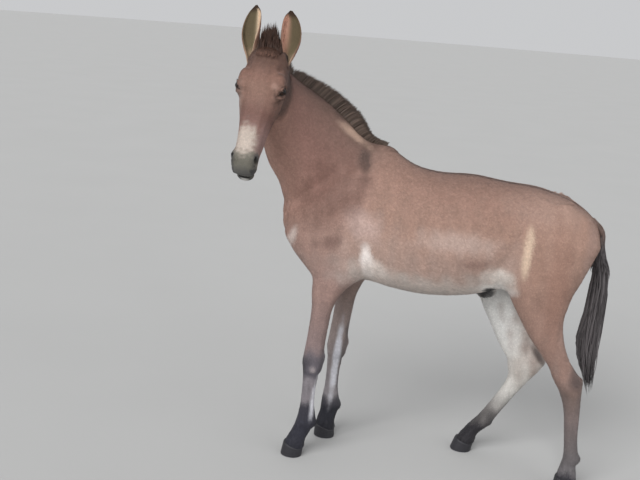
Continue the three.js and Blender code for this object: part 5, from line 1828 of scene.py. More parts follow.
@dataclass
class TuftShape:
    """One tuft: a few thin blades that fan from a root and bend over."""

    blades: int = 4
    fan: float = 0.3
    arch: float = 0.045
    seed: int = 1

    def build(self) -> bpy.types.Object:
        """The tuft, one unit long and one unit wide, growing along +Y with +Z away from the skin.

        Returns:
            The tuft as an object.
        """
        rng = np.random.default_rng(self.seed)
        points, faces, run, strand = [], [], [], []
        for blade in range(self.blades):
            place = (blade + 0.5) / self.blades - 0.5
            turn = self.fan * place * 2 + rng.uniform(-0.1, 0.1)
            reach, middle = rng.uniform(0.74, 1.0), rng.uniform(0.3, 0.5)
            side = place + rng.uniform(-0.1, 0.1)
            half, arch = rng.uniform(0.13, 0.19), self.arch * rng.uniform(0.7, 1.3)
            start, x = len(points), side + math.sin(turn) * middle
            points += [(side, -0.08, -0.04), (x - half, middle, arch), (x + half, middle, arch),
                       (side + math.sin(turn) * 0.95, reach, arch * 0.5)]
            run += [0.0, middle, middle, 1.0]
            strand += [blade + 0.5, blade + 0.1, blade + 0.9, blade + 0.5]
            root, left, right, tip = start, start + 1, start + 2, start + 3
            faces += [[root, right, left], [tip, left, right], [root, left, tip], [root, tip, right]]
        mesh = bpy.data.meshes.new("tuft_shape")
        mesh.from_pydata(points, [], faces)
        keep(mesh, "run", np.clip(run, 0, 1))
        keep(mesh, "strand", np.array(strand))
        keep(mesh, "spot", np.array([((x + 1) / 2, y, 0) for x, y, _ in points]))
        mesh.update()
        return link("tuft_shape", mesh)


class TuftTree(Layout):
    """The node tree that scatters tufts over a bed of skin and lays them along the coat."""

    # Chances of each tuft: its share of the lift, its sideways tip and turn in radians, and how many
    # metres a millimetre of coat gives.
    lifts = (0.1, 1.0)
    tips = (-0.1, 0.1)
    turns = (-0.16, 0.16)
    stretches = (0.00075, 0.00125)
    # Breadth goes with this power of the length, times this factor.
    slender = 0.62
    fill = 0.24

    def __init__(self, material: bpy.types.Material) -> None:
        """Builds the tree.

        Args:
            material: the finish of the tufts.
        """
        self.tree = bpy.data.node_groups.new("coat_tufts", "GeometryNodeTree")
        self.inputs: dict[str, str] = {}
        self.open("Bed", "NodeSocketGeometry")
        for name, kind, value in (
            ("Shape A", "NodeSocketObject", None), ("Shape B", "NodeSocketObject", None),
            ("Density", "NodeSocketFloat", 1.0), ("Spacing", "NodeSocketFloat", 0.004),
            ("Breadth", "NodeSocketFloat", 0.28), ("Lift", "NodeSocketFloat", 0.15),
            ("Seed", "NodeSocketInt", 1), ("Patch", "NodeSocketFloat", BAKE_SPOT),
            ("Finish", "NodeSocketMaterial", material),
        ):
            self.open(name, kind, value)
        self.tree.interface.new_socket("Tufts", in_out="OUTPUT", socket_type="NodeSocketGeometry")
        self.entry = self.tree.nodes.new("NodeGroupInput")
        self.wire()

    def open(self, name: str, kind: str, value: object = None) -> None:
        """Adds a named input to the tree.

        Args:
            name: its name.
            kind: its type.
            value: what it is when nothing is set.
        """
        socket = self.tree.interface.new_socket(name, in_out="INPUT", socket_type=kind)
        if value is not None:
            socket.default_value = value
        self.inputs[name] = socket.identifier

    def out(self, node: bpy.types.Node, key: object = 0) -> bpy.types.NodeSocket:
        """A node's output in use."""
        return self.live(node.outputs, key)

    def read(self, name: str, kind: str) -> bpy.types.NodeSocket:
        """Reads a value kept on the geometry.

        Args:
            name: the value's name.
            kind: its type.

        Returns:
            The value's socket.
        """
        node = self.add("GeometryNodeInputNamedAttribute", {"Name": name}, data_type=kind)
        return self.out(node, "Attribute")

    def chance(self, low: float, high: float, seed: int) -> bpy.types.NodeSocket:
        """A random number for each tuft.

        Args:
            low: the least it can be.
            high: the most it can be.
            seed: picks the draw.

        Returns:
            The number's socket.
        """
        node = self.add("FunctionNodeRandomValue", {"Min": low, "Max": high, "Seed": seed},
                        data_type="FLOAT")
        return self.out(node, "Value")

    def maths(self, operation: str, first: object, second: object) -> bpy.types.NodeSocket:
        """Arithmetic on two values."""
        return self.add("ShaderNodeMath", {0: first, 1: second}, operation=operation).outputs[0]

    def wire(self) -> None:
        """Lays out the nodes, from the bed of skin to the finished tufts."""
        given = self.entry.outputs
        growth = self.maths("SUBTRACT", 1.0, self.read("bare", "FLOAT"))
        scatter = self.add("GeometryNodeDistributePointsOnFaces", {
            "Mesh": given["Bed"], "Distance Min": given["Spacing"], "Density Max": given["Density"],
            "Density Factor": growth, "Seed": given["Seed"],
        }, distribute_method="POISSON")
        upright = self.add("FunctionNodeAlignRotationToVector", {"Vector": self.out(scatter, "Normal")},
                           axis="Z")
        along = self.add("FunctionNodeAlignRotationToVector",
                         {"Rotation": upright.outputs[0], "Vector": self.read("lie", "FLOAT_VECTOR")},
                         axis="Y", pivot_axis="Z")
        lift = self.maths("MULTIPLY", self.chance(*self.lifts, 11), given["Lift"])
        tip, turn = self.chance(*self.tips, 12), self.chance(*self.turns, 13)
        tilt = self.add("ShaderNodeCombineXYZ", {"X": lift, "Y": tip, "Z": turn})
        leant = self.add("FunctionNodeRotateRotation", {
            "Rotation": along.outputs[0],
            "Rotate By": self.add("FunctionNodeEulerToRotation", {"Euler": tilt.outputs[0]}).outputs[0],
        }, rotation_space="LOCAL")
        length = self.maths("MULTIPLY", self.read("fur", "FLOAT"), self.chance(*self.stretches, 14))
        narrow = self.maths("MULTIPLY", given["Breadth"], self.fill)
        breadth = self.maths("MULTIPLY", self.maths("POWER", length, self.slender), narrow)
        size = self.add("ShaderNodeCombineXYZ", {"X": breadth, "Y": length, "Z": length})
        shapes = self.add("GeometryNodeJoinGeometry")
        for name in ("Shape A", "Shape B"):
            info = self.add("GeometryNodeObjectInfo", {"Object": given[name], "As Instance": True})
            self.tree.links.new(self.out(info, "Geometry"), shapes.inputs[0])
        pick = self.add("FunctionNodeRandomValue", {"Min": 0, "Max": 1, "Seed": 15}, data_type="INT")
        tufts = self.add("GeometryNodeInstanceOnPoints", {
            "Points": self.out(scatter, "Points"), "Instance": shapes.outputs[0], "Pick Instance": True,
            "Instance Index": self.out(pick, "Value"), "Rotation": leant.outputs[0],
            "Scale": size.outputs[0],
        })
        toned = self.add("GeometryNodeStoreNamedAttribute", {
            "Geometry": tufts.outputs[0], "Name": "tone", "Value": self.chance(0, 1, 16),
        }, data_type="FLOAT", domain="INSTANCE")
        real = self.add("GeometryNodeRealizeInstances", {"Geometry": toned.outputs[0]})
        spot = self.add("ShaderNodeVectorMath", {0: self.read("spot", "FLOAT_VECTOR")}, operation="SCALE")
        self.tree.links.new(given["Patch"], spot.inputs["Scale"])
        place = self.add("ShaderNodeVectorMath",
                         {0: self.read("SkinMap", "FLOAT_VECTOR"), 1: spot.outputs[0]},
                         operation="ADD")
        mapped = self.add("GeometryNodeStoreNamedAttribute", {
            "Geometry": real.outputs[0], "Name": "OFBake", "Value": place.outputs[0],
        }, data_type="FLOAT2", domain="CORNER")
        dressed = self.add("GeometryNodeSetMaterial",
                           {"Geometry": mapped.outputs[0], "Material": given["Finish"]})
        crisp = self.add("GeometryNodeSetShadeSmooth",
                         {"Geometry": dressed.outputs[0], "Shade Smooth": False})
        leave = self.tree.nodes.new("NodeGroupOutput")
        self.tree.links.new(crisp.outputs[0], leave.inputs[0])


@dataclass
class Coat:
    """The short coat: tufts over the whole skin, in a few pieces."""

    skin: Surface
    finish: TuftFinish
    # How closely the tufts pack, and how many places are tried for each.
    packing: float = 0.53
    crowd: float = 4.0
    # The scatter of the first piece; each next piece takes the next number.
    seed: int = 40

    def build(self) -> list[bpy.types.Object]:
        """Grows every piece of the coat.

        Returns:
            The pieces, each a plain mesh.
        """
        material = self.finish.build()
        shapes = [TuftShape(seed=21).build(), TuftShape(fan=0.2, seed=22).build()]
        tree = TuftTree(material)
        order = CoatPiece.of_faces(self.skin.points[self.skin.faces].mean(axis=1))
        made = [self.grow(piece, order == index, tree, shapes, material)
                for index, piece in enumerate(CoatPiece)]
        for shape in shapes:
            bpy.data.objects.remove(shape)
        return made

    def bed(self, mine: Array, material: bpy.types.Material) -> bpy.types.Object:
        """A part of the skin with what the tufts read from it.

        Args:
            mine: the skin's faces that it has.
            material: its finish.

        Returns:
            The bed as an object.
        """
        used, inverse = np.unique(self.skin.faces[mine], return_inverse=True)
        corners = self.skin.maps["SkinMap"].reshape(-1, 3, 2)[mine].reshape(-1, 2)
        values = {key: value[used] for key, value in self.skin.values.items()}
        part = Surface(self.skin.points[used], inverse.reshape(-1, 3), values, {"SkinMap": corners})
        return make_object("coat_bed", part, material)

    def grow(self, piece: CoatPiece, mine: Array, tree: TuftTree, shapes: list[bpy.types.Object],
             material: bpy.types.Material) -> bpy.types.Object:
        """Grows one piece of the coat.

        Args:
            piece: which one.
            mine: the skin's faces that it grows on.
            tree: the node tree of the tufts.
            shapes: the tufts' shapes.
            material: the tufts' finish.

        Returns:
            The piece.
        """
        bed = self.bed(mine, material)
        modifier = bed.modifiers.new("tufts", "NODES")
        modifier.node_group = tree.tree
        settings = {
            "Shape A": shapes[0], "Shape B": shapes[1], "Density": piece.density * self.crowd,
            "Spacing": math.sqrt(self.packing / piece.density), "Lift": math.radians(piece.lift),
            "Seed": self.seed + list(CoatPiece).index(piece), "Patch": BAKE_SPOT, "Finish": material,
        }
        for key, value in settings.items():
            modifier[tree.inputs[key]] = value
        bpy.context.view_layer.update()
        graph = bpy.context.evaluated_depsgraph_get()
        mesh = bpy.data.meshes.new_from_object(bed.evaluated_get(graph), preserve_all_data_layers=True,
                                               depsgraph=graph)
        bpy.data.objects.remove(bed)
        mesh.name = piece.title
        return link(piece.title, mesh)


@dataclass
class LockRun:
    """Flat, tapered locks of hair along curves, joined in one mesh."""

    profile: tuple[float, ...] = (0.55, 0.85, 1.0, 0.98, 0.9, 0.76, 0.55, 0.3)
    sides: int = 6

    def build(self, curves: Array, broad: Array, widths: Array, thicks: Array, colours: Array, homes: Array,
              seed: int) -> Surface:
        """Makes the locks.

        Args:
            curves: points along each lock, roots first, as locks by points by three.
            broad: the direction of each lock's broad side.
            widths: full breadth of each.
            thicks: full thickness of each.
            colours: linear colour of each.
            homes: the place of each root on the skin's flat layout.
            seed: picks the shades.

        Returns:
            One surface with its values and its two maps.
        """
        count, sides = len(curves), self.sides
        rings = len(self.profile)
        shares = np.linspace(0, 1, rings + 1)
        fine = self.resample(curves, shares)
        tangents = unit(np.gradient(fine, axis=1))
        across = unit(broad[:, None] - (broad[:, None] * tangents).sum(axis=2, keepdims=True) * tangents)
        normal = np.cross(tangents, across)
        angles = even_turns(sides)
        shape = np.array(self.profile)[None, :, None]
        side = np.cos(angles) * shape * widths[:, None, None] / 2
        lift = np.sin(angles) * np.sqrt(shape) * thicks[:, None, None] / 2
        lift = lift + 0.25 * thicks[:, None, None] * (1 - np.cos(angles) ** 2 * 2) * shape
        body = (fine[:, :-1, None] + across[:, :-1, None] * side[..., None]
                + normal[:, :-1, None] * lift[..., None])
        per = rings * sides + 1
        points = np.concatenate([body.reshape(count, -1, 3), fine[:, -1:]], axis=1).reshape(-1, 3)
        template, uv = self.template(rings, sides)
        faces = (template[None] + (np.arange(count) * per)[:, None, None]).reshape(-1, 3)
        rng = np.random.default_rng(seed)
        run = np.concatenate([np.repeat(shares[:-1], sides), [1.0]])
        values = {
            "markings": opaque(np.repeat(colours, per, axis=0)), "run": np.tile(run, count),
            "tone": np.repeat(rng.uniform(0, 1, count), per),
        }
        offset = rng.uniform(0, 9, (count, 1, 2))
        strand = (uv[None] + offset).reshape(-1, 2)
        home = (homes[:, None] + uv[None] * BAKE_SPOT).reshape(-1, 2)
        return Surface(points, faces, values, {"OFBake": home, "Strand": strand})

    @staticmethod
    def resample(curves: Array, shares: Array) -> Array:
        """Reads smooth curves through given points at even shares.

        Args:
            curves: points along each curve.
            shares: where each is read, from 0 to 1.

        Returns:
            The new points along each.
        """
        count = curves.shape[1]
        at = np.asarray(shares) * (count - 1)
        index = np.clip(at.astype(int), 0, count - 2)
        t = (at - index)[None, :, None]
        p1, p2 = curves[:, index], curves[:, index + 1]
        p0 = np.where((index > 0)[None, :, None], curves[:, np.maximum(index - 1, 0)], 2 * p1 - p2)
        p3 = np.where((index < count - 2)[None, :, None], curves[:, np.minimum(index + 2, count - 1)],
                      2 * p2 - p1)
        return 0.5 * (2 * p1 + (p2 - p0) * t + (2 * p0 - 5 * p1 + 4 * p2 - p3) * t ** 2
                      + (3 * p1 - p0 - 3 * p2 + p3) * t ** 3)

    @staticmethod
    def template(rings: int, sides: int) -> tuple[Array, Array]:
        """The triangles of one lock and the flat place of their corners.

        Args:
            rings: rings of points along the lock.
            sides: points in a ring.

        Returns:
            The triangles, and two numbers for each corner.
        """
        faces, flat = [], []
        for ring in range(rings - 1):
            for index in range(sides):
                beside = (index + 1) % sides
                a, b = ring * sides + index, ring * sides + beside
                c, d = a + sides, b + sides
                low, high = ring / rings, (ring + 1) / rings
                u, w = index / sides, (index + 1) / sides
                faces += [[a, c, b], [b, c, d]]
                flat += [(u, low), (u, high), (w, low), (w, low), (u, high), (w, high)]
        tip, last = rings * sides, (rings - 1) * sides
        for index in range(sides):
            beside = (index + 1) % sides
            faces.append([last + index, tip, last + beside])
            flat += [(index / sides, (rings - 1) / rings), ((index + 0.5) / sides, 1),
                     ((index + 1) / sides, (rings - 1) / rings)]
        for index in range(1, sides - 1):
            faces.append([0, index, index + 1])
            flat += [(0, 0), (index / sides, 0), ((index + 1) / sides, 0)]
        return np.array(faces), np.array(flat, float)


def bent(roots: Array, rises: Array, bends: Array, lengths: Array, points: int = 5) -> Array:
    """Curves that leave their roots one way and bend over another way.

    Args:
        roots: where they start.
        rises: how they leave.
        bends: how they end.
        lengths: how long they are.
        points: points along each.

    Returns:
        The curves, as curves by points by three.
    """
    half = lengths[:, None] / 2
    middle = roots + unit(rises) * half
    end = middle + unit(bends) * half
    t = np.linspace(0, 1, points)[None, :, None]
    return (1 - t) ** 2 * roots[:, None] + 2 * t * (1 - t) * middle[:, None] + t ** 2 * end[:, None]


def homes_of(points: Array) -> Array:
    """Where roots lie on the skin's flat layout.

    Args:
        points: the roots, in the body's frame.

    Returns:
        Two numbers for each root.
    """
    regions = UNWRAP.regions(points)
    flat = np.zeros((len(points), 2))
    for region in Region:
        mine = regions == region.value
        if mine.any():
            flat[mine] = UNWRAP.flatten(points[mine], region)
    return flat


@dataclass
class Mane:
    """The short upright mane, from the withers over the nape to the poll."""

    start: float = 838.0
    end: float = 1190.0
    count: int = 2600
    # Height at the withers, how much it gains up the neck, and how far the roots are sunk.
    short: float = 16.0
    growth: float = 36.0
    sink: float = 13.0
    half_width: float = 9.5
    colour: Colour = (76, 64, 57)
    seed: int = 11

    def line(self) -> tuple[Array, Array]:
        """Points along the crest and over the nape, and which way they face.

        Returns:
            The points and the directions.
        """
        head = MULE.head_frame
        points, facing = [], []
        for at in np.linspace(self.start, self.end, 9):
            row = MULE.neck.read(at)[0]
            middle = MULE.neck.axes.T @ np.array([at, row[0], row[2]])
            out = unit(MULE.neck.axes[1] * math.cos(row[5]) + MULE.neck.axes[2] * math.sin(row[5]))
            points.append(MULE.cast(middle, out))
            facing.append(out)
        for along, out in ((4, -166), (0, -142), (-4, -118)):
            points.append(MULE.cast(head.point(along + 50, out + 20, 0), head.direction(-1, -0.2, 0)))
            facing.append(head.direction(-1, -0.25, 0))
        return np.array(points), np.array(facing)

    def build(self, finish: bpy.types.Material) -> bpy.types.Object:
        """Makes the mane.

        Args:
            finish: its material.

        Returns:
            The mane as one piece.
        """
        rng = np.random.default_rng(self.seed)
        marks, facing = self.line()
        share = np.sort((np.arange(self.count) + rng.uniform(0, 1, self.count)) / self.count)
        crest, ahead, back = (LockRun.resample(marks[None], np.clip(share + step, 0, 1))[0]
                              for step in (0, 0.01, -0.01))
        along = unit(ahead - back)
        out = LockRun.resample(facing[None], share)[0]
        out = unit(out - (out * along).sum(axis=1, keepdims=True) * along)
        aside = unit(np.cross(along, out))
        row = rng.uniform(-1, 1, self.count)
        height = self.short + self.growth * smooth(0, 0.26, share) + 3 * share + self.sink
        height *= rng.uniform(0.9, 1.03, self.count) * (1 - 0.14 * np.abs(row))
        backward = np.where(share > 0.8, -0.1, 0.42 + 0.8 * smooth(0.16, 0, share))
        roots = crest - out * self.sink + aside * (self.half_width * row - 0.5)[:, None]
        lean = (-0.1 + 0.34 * row + rng.normal(0, 0.06, self.count))[:, None]
        rises = out - along * (0.12 * backward)[:, None] + aside * lean * 0.3
        bends = out - along * (backward * rng.uniform(1.0, 1.7, self.count))[:, None] + aside * lean * 1.25
        curves = bent(roots, rises, bends, height)
        colours = linear(self.colour) * rng.uniform(0.88, 1.14, (self.count, 1))
        colours = colours * (1 + 0.4 * (np.abs(row) > 0.85))[:, None]
        locks = LockRun(profile=(0.7, 1.0, 1.0, 0.9, 0.62))
        surface = locks.build(curves, unit(along + 0.3 * rng.normal(size=along.shape)),
                              rng.uniform(2.4, 4.8, self.count), rng.uniform(1.2, 2.0, self.count), colours,
                              homes_of(crest), self.seed + 1)
        return make_object("mane", surface, finish)


@dataclass
class Forelock:
    """The upright forelock between the ears, with a fringe on the forehead."""

    upright: int = 860
    fringe: int = 420
    colour: Colour = (58, 39, 30)
    fringe_colour: Colour = (90, 65, 55)
    seed: int = 5

    def standing(self, rng: np.random.Generator) -> Array:
        """Curves of the locks that stand up between the ears.

        Args:
            rng: the draws.

        Returns:
            The curves, roots first.
        """
        head, count = MULE.head_frame, self.upright
        depth = rng.uniform(-108, -18, count)
        place = rng.uniform(-1, 1, count)
        spread = np.interp(depth, [-100, -74, -48], [27, 35, 37])
        length = np.interp(depth, [-108, -100, -74, -48, -34, -18], [76, 86, 112, 96, 74, 34])
        length = length * (1 - 0.36 * (place - 0.3) ** 2) * rng.uniform(0.64, 1.06, count)
        forward = np.interp(depth, [-100, -74, -48], [-0.06, 0.06, 0.2])
        lean = 0.12 - 0.1 * place + rng.normal(0, 0.06, count)
        roots = head.point(np.full(count, 10.0), depth, place * spread)
        rises = np.stack([-np.ones(count), forward * 0.4, lean * 0.5], axis=1) @ head.axes
        forward = forward * 1.6 + rng.normal(0, 0.08, count)
        bends = np.stack([-np.ones(count), forward, lean * 1.3], axis=1) @ head.axes
        return bent(roots, rises, bends, length)

    def lying(self, rng: np.random.Generator) -> Array:
        """Curves of the locks that lie down over the forehead.

        Args:
            rng: the draws.

        Returns:
            The curves, roots first.
        """
        head, count = MULE.head_frame, self.fringe
        side = rng.uniform(-1, 1, count)
        start = rng.uniform(-16, 14, count)
        length = rng.uniform(8, 28, count)
        drift = rng.normal(0, 4, count)
        steps = []
        for share, lift in ((0, -2.0), (0.25, 1.2), (0.5, 2.2), (0.75, 2.2), (1.0, 1.4)):
            along, across = start + length * share, side * 33 + drift * share
            out = np.full(count, 4.0)
            for _ in range(8):
                out = np.maximum(out - MULE.skull(head.point(along, out, across)), -60)
            steps.append(head.point(along, out + lift, across))
        return np.stack(steps, axis=1)

    def build(self, finish: bpy.types.Material) -> bpy.types.Object:
        """Makes the forelock.

        Args:
            finish: its material.

        Returns:
            The forelock as one piece.
        """
        rng = np.random.default_rng(self.seed)
        curves = np.concatenate([self.standing(rng), self.lying(rng)])
        total = len(curves)
        fade = smooth(-4, 14, MULE.head_frame.to_local(curves[:, 0])[:, 0])
        fade = fade * (np.arange(total) >= self.upright)
        colours = tinted(linear(self.colour), self.fringe_colour, fade) * rng.uniform(0.84, 1.18, (total, 1))
        broad = unit(MULE.head_frame.axes[2] + 0.3 * rng.normal(size=(total, 3)))
        locks = LockRun(profile=(0.7, 1.0, 1.0, 0.92, 0.75, 0.45))
        widths = rng.uniform(2.2, 4.4, total) * np.where(np.arange(total) < self.upright, 1, 0.65)
        surface = locks.build(curves, broad, widths, widths * 0.4, colours, homes_of(curves[:, 0]),
                              self.seed + 1)
        return make_object("forelock", surface, finish)


# The tail's outline by height: at, front edge, rear edge, half width.
TAIL = (
    (292, 956, 969, 6), (340, 938, 969, 15), (400, 916, 969, 25), (480, 886, 968, 34), (560, 891, 967, 35),
    (640, 899, 965, 32), (700, 898, 963, 28), (755, 898, 958, 25), (800, 902, 940, 20), (840, 903, 929, 18),
    (880, 893, 926, 19), (905, 878, 914, 20), (925, 866, 896, 17),
)


@dataclass
class Tail:
    """The dock with its short hair, and the long dark hair that hangs from it."""

    locks: int = 620
    wisps: int = 620
    dock_top: float = 925.0
    dock_foot: float = 640.0
    dock_rings: int = 40
    dock_segments: int = 28
    colour: Colour = (80, 76, 77)
    root_colour: Colour = (104, 86, 79)
    seed: int = 29

    def __post_init__(self) -> None:
        """Reads the tail's outline."""
        rows = [MuleBody.edge_row(*row[:3], 0, row[3], 0) for row in TAIL]
        self.outline = SectionBody(rows, ((0, 0, 1), (1, 0, 0), (0, 1, 0)), 2)

    def place(self, height: Array, angle: Array, share: Array) -> Array:
        """A point of the tail at a height and an angle, at a share of the way out."""
        share = share * np.interp(height, [0, 850, 895, 925], [1, 1, 0.78, 0.25])
        return self.outline.place(height, np.cos(angle) * share, np.sin(angle) * share)

    def shade(self, height: Array) -> Array:
        """Colours of the tail at given heights: brown at the root, dark below it."""
        return tinted(linear(self.root_colour), self.colour, smooth(915, 840, height))

    def dock(self, finish: bpy.types.Material) -> bpy.types.Object:
        """The fleshy dock.

        Args:
            finish: its material.

        Returns:
            The dock as one piece.
        """
        rings, segments = self.dock_rings, self.dock_segments
        heights = np.linspace(self.dock_top, self.dock_foot, rings)
        share = np.interp(heights, [self.dock_foot, 720, 800, self.dock_top], [0.12, 0.4, 0.8, 0.94])
        angles = even_turns(segments)
        points = self.place(np.repeat(heights, segments), np.tile(angles, rings),
                            np.repeat(share, segments))
        even = np.full(len(points), 0.5)
        shades = opaque(self.shade(np.repeat(heights, segments)))
        values = {"markings": shades, "run": even, "tone": even}
        faces = ring_faces(rings, segments)
        flat = [(index % segments / segments, index / segments / rings) for face in faces for index in face]
        surface = Surface(points, faces, values, {"Strand": np.array(flat)})
        return make_object("tail_dock", surface, finish)

    def build(self, finish: bpy.types.Material) -> bpy.types.Object:
        """Makes the long hair of the tail.

        Args:
            finish: its material.

        Returns:
            The hair as one piece.
        """
        rng = np.random.default_rng(self.seed)
        count = self.locks
        angle = rng.uniform(0, 2 * math.pi, count)
        height = 590 + 245 * rng.uniform(0, 1, count) ** 0.75
        length = np.interp(height, [590, 835], [290, 340]) * rng.uniform(0.72, 1.1, count)
        foot = np.maximum(height - length, 296 + rng.uniform(0, 70, count))
        inner = rng.uniform(0.35, 1.0, count)
        steps = ((0.0, 0.35), (0.18, 0.85), (0.45, 0.95), (0.75, 0.93), (1.0, 0.8))
        curves = np.stack([
            self.place(height + (foot - height) * down, angle + 0.12 * rng.normal(size=count) * down,
                       reach * inner)
            for down, reach in steps
        ], axis=1)
        curves[:, 1:] += rng.normal(0, 1.6, (count, 4, 3)) * (1, 1, 0)
        short = self.wisps
        turn = rng.uniform(0, 2 * math.pi, short)
        top = rng.uniform(770, 920, short)
        low = top - rng.uniform(22, 44, short)
        cover = np.stack([self.place(top, turn, np.full(short, 0.7)),
                          self.place((top + low) / 2, turn, np.full(short, 0.98)),
                          self.place(low, turn, np.full(short, 1.0))], axis=1)
        cover = LockRun.resample(cover, np.linspace(0, 1, 5))
        curves = np.concatenate([curves, cover])
        turns = np.concatenate([angle, turn])
        colours = self.shade(curves[:, 0, 2]) * rng.uniform(0.65, 1.5, (len(curves), 1))
        broad = np.stack([-np.sin(turns), np.cos(turns), 0 * turns], axis=1)
        broad = broad + 0.3 * rng.normal(size=(len(curves), 3))
        widths = np.concatenate([rng.uniform(4.5, 9, count), rng.uniform(2.2, 4.2, short)])
        thicks = np.concatenate([rng.uniform(1.8, 3.2, count), rng.uniform(0.8, 1.4, short)])
        homes = homes_of(np.stack([0 * turns + 880, 30 * np.sin(turns), 880 + 30 * np.cos(turns)], axis=1))
        locks = LockRun(profile=(0.6, 0.9, 1.0, 0.95, 0.8, 0.5), sides=5)
        surface = locks.build(curves, unit(broad), widths, thicks, colours, homes, self.seed + 1)
        return make_object("tail_hair", surface, finish)


# An ear's shape from root to tip: at, half width as a share, depth of the cup, wrap in radians, thickness.
EAR = np.array([
    (0, 0.48, 14, 2.4, 5), (0.2, 0.76, 18, 2.2, 4.6), (0.45, 1, 17, 1.9, 4), (0.7, 0.95, 13, 1.65, 3.4),
    (0.88, 0.66, 8, 1.45, 2.8), (1, 0.12, 2.4, 1.3, 1.8),
])


# The ear's hair: count, from and to along the ear, from and to across it (1 is the inner edge), 0 for
# the outer face or 1 for the inner one, shortest and longest, breadth, lift.
EAR_HAIR = (
    (300, 0.04, 0.86, (0.4, 1.0), 1.0, (14, 26), 1.5, 0.3),
    (90, 0.1, 0.88, (-1.0, -0.8), 1.0, (8, 14), 1.4, 0.3),
    (1100, 0.02, 0.98, (-0.98, 0.98), 0.0, (6, 10), 1.4, 0.1),
    (900, 0.04, 0.95, (-0.9, 0.9), 1.0, (5, 9), 0.8, 0.07),
)


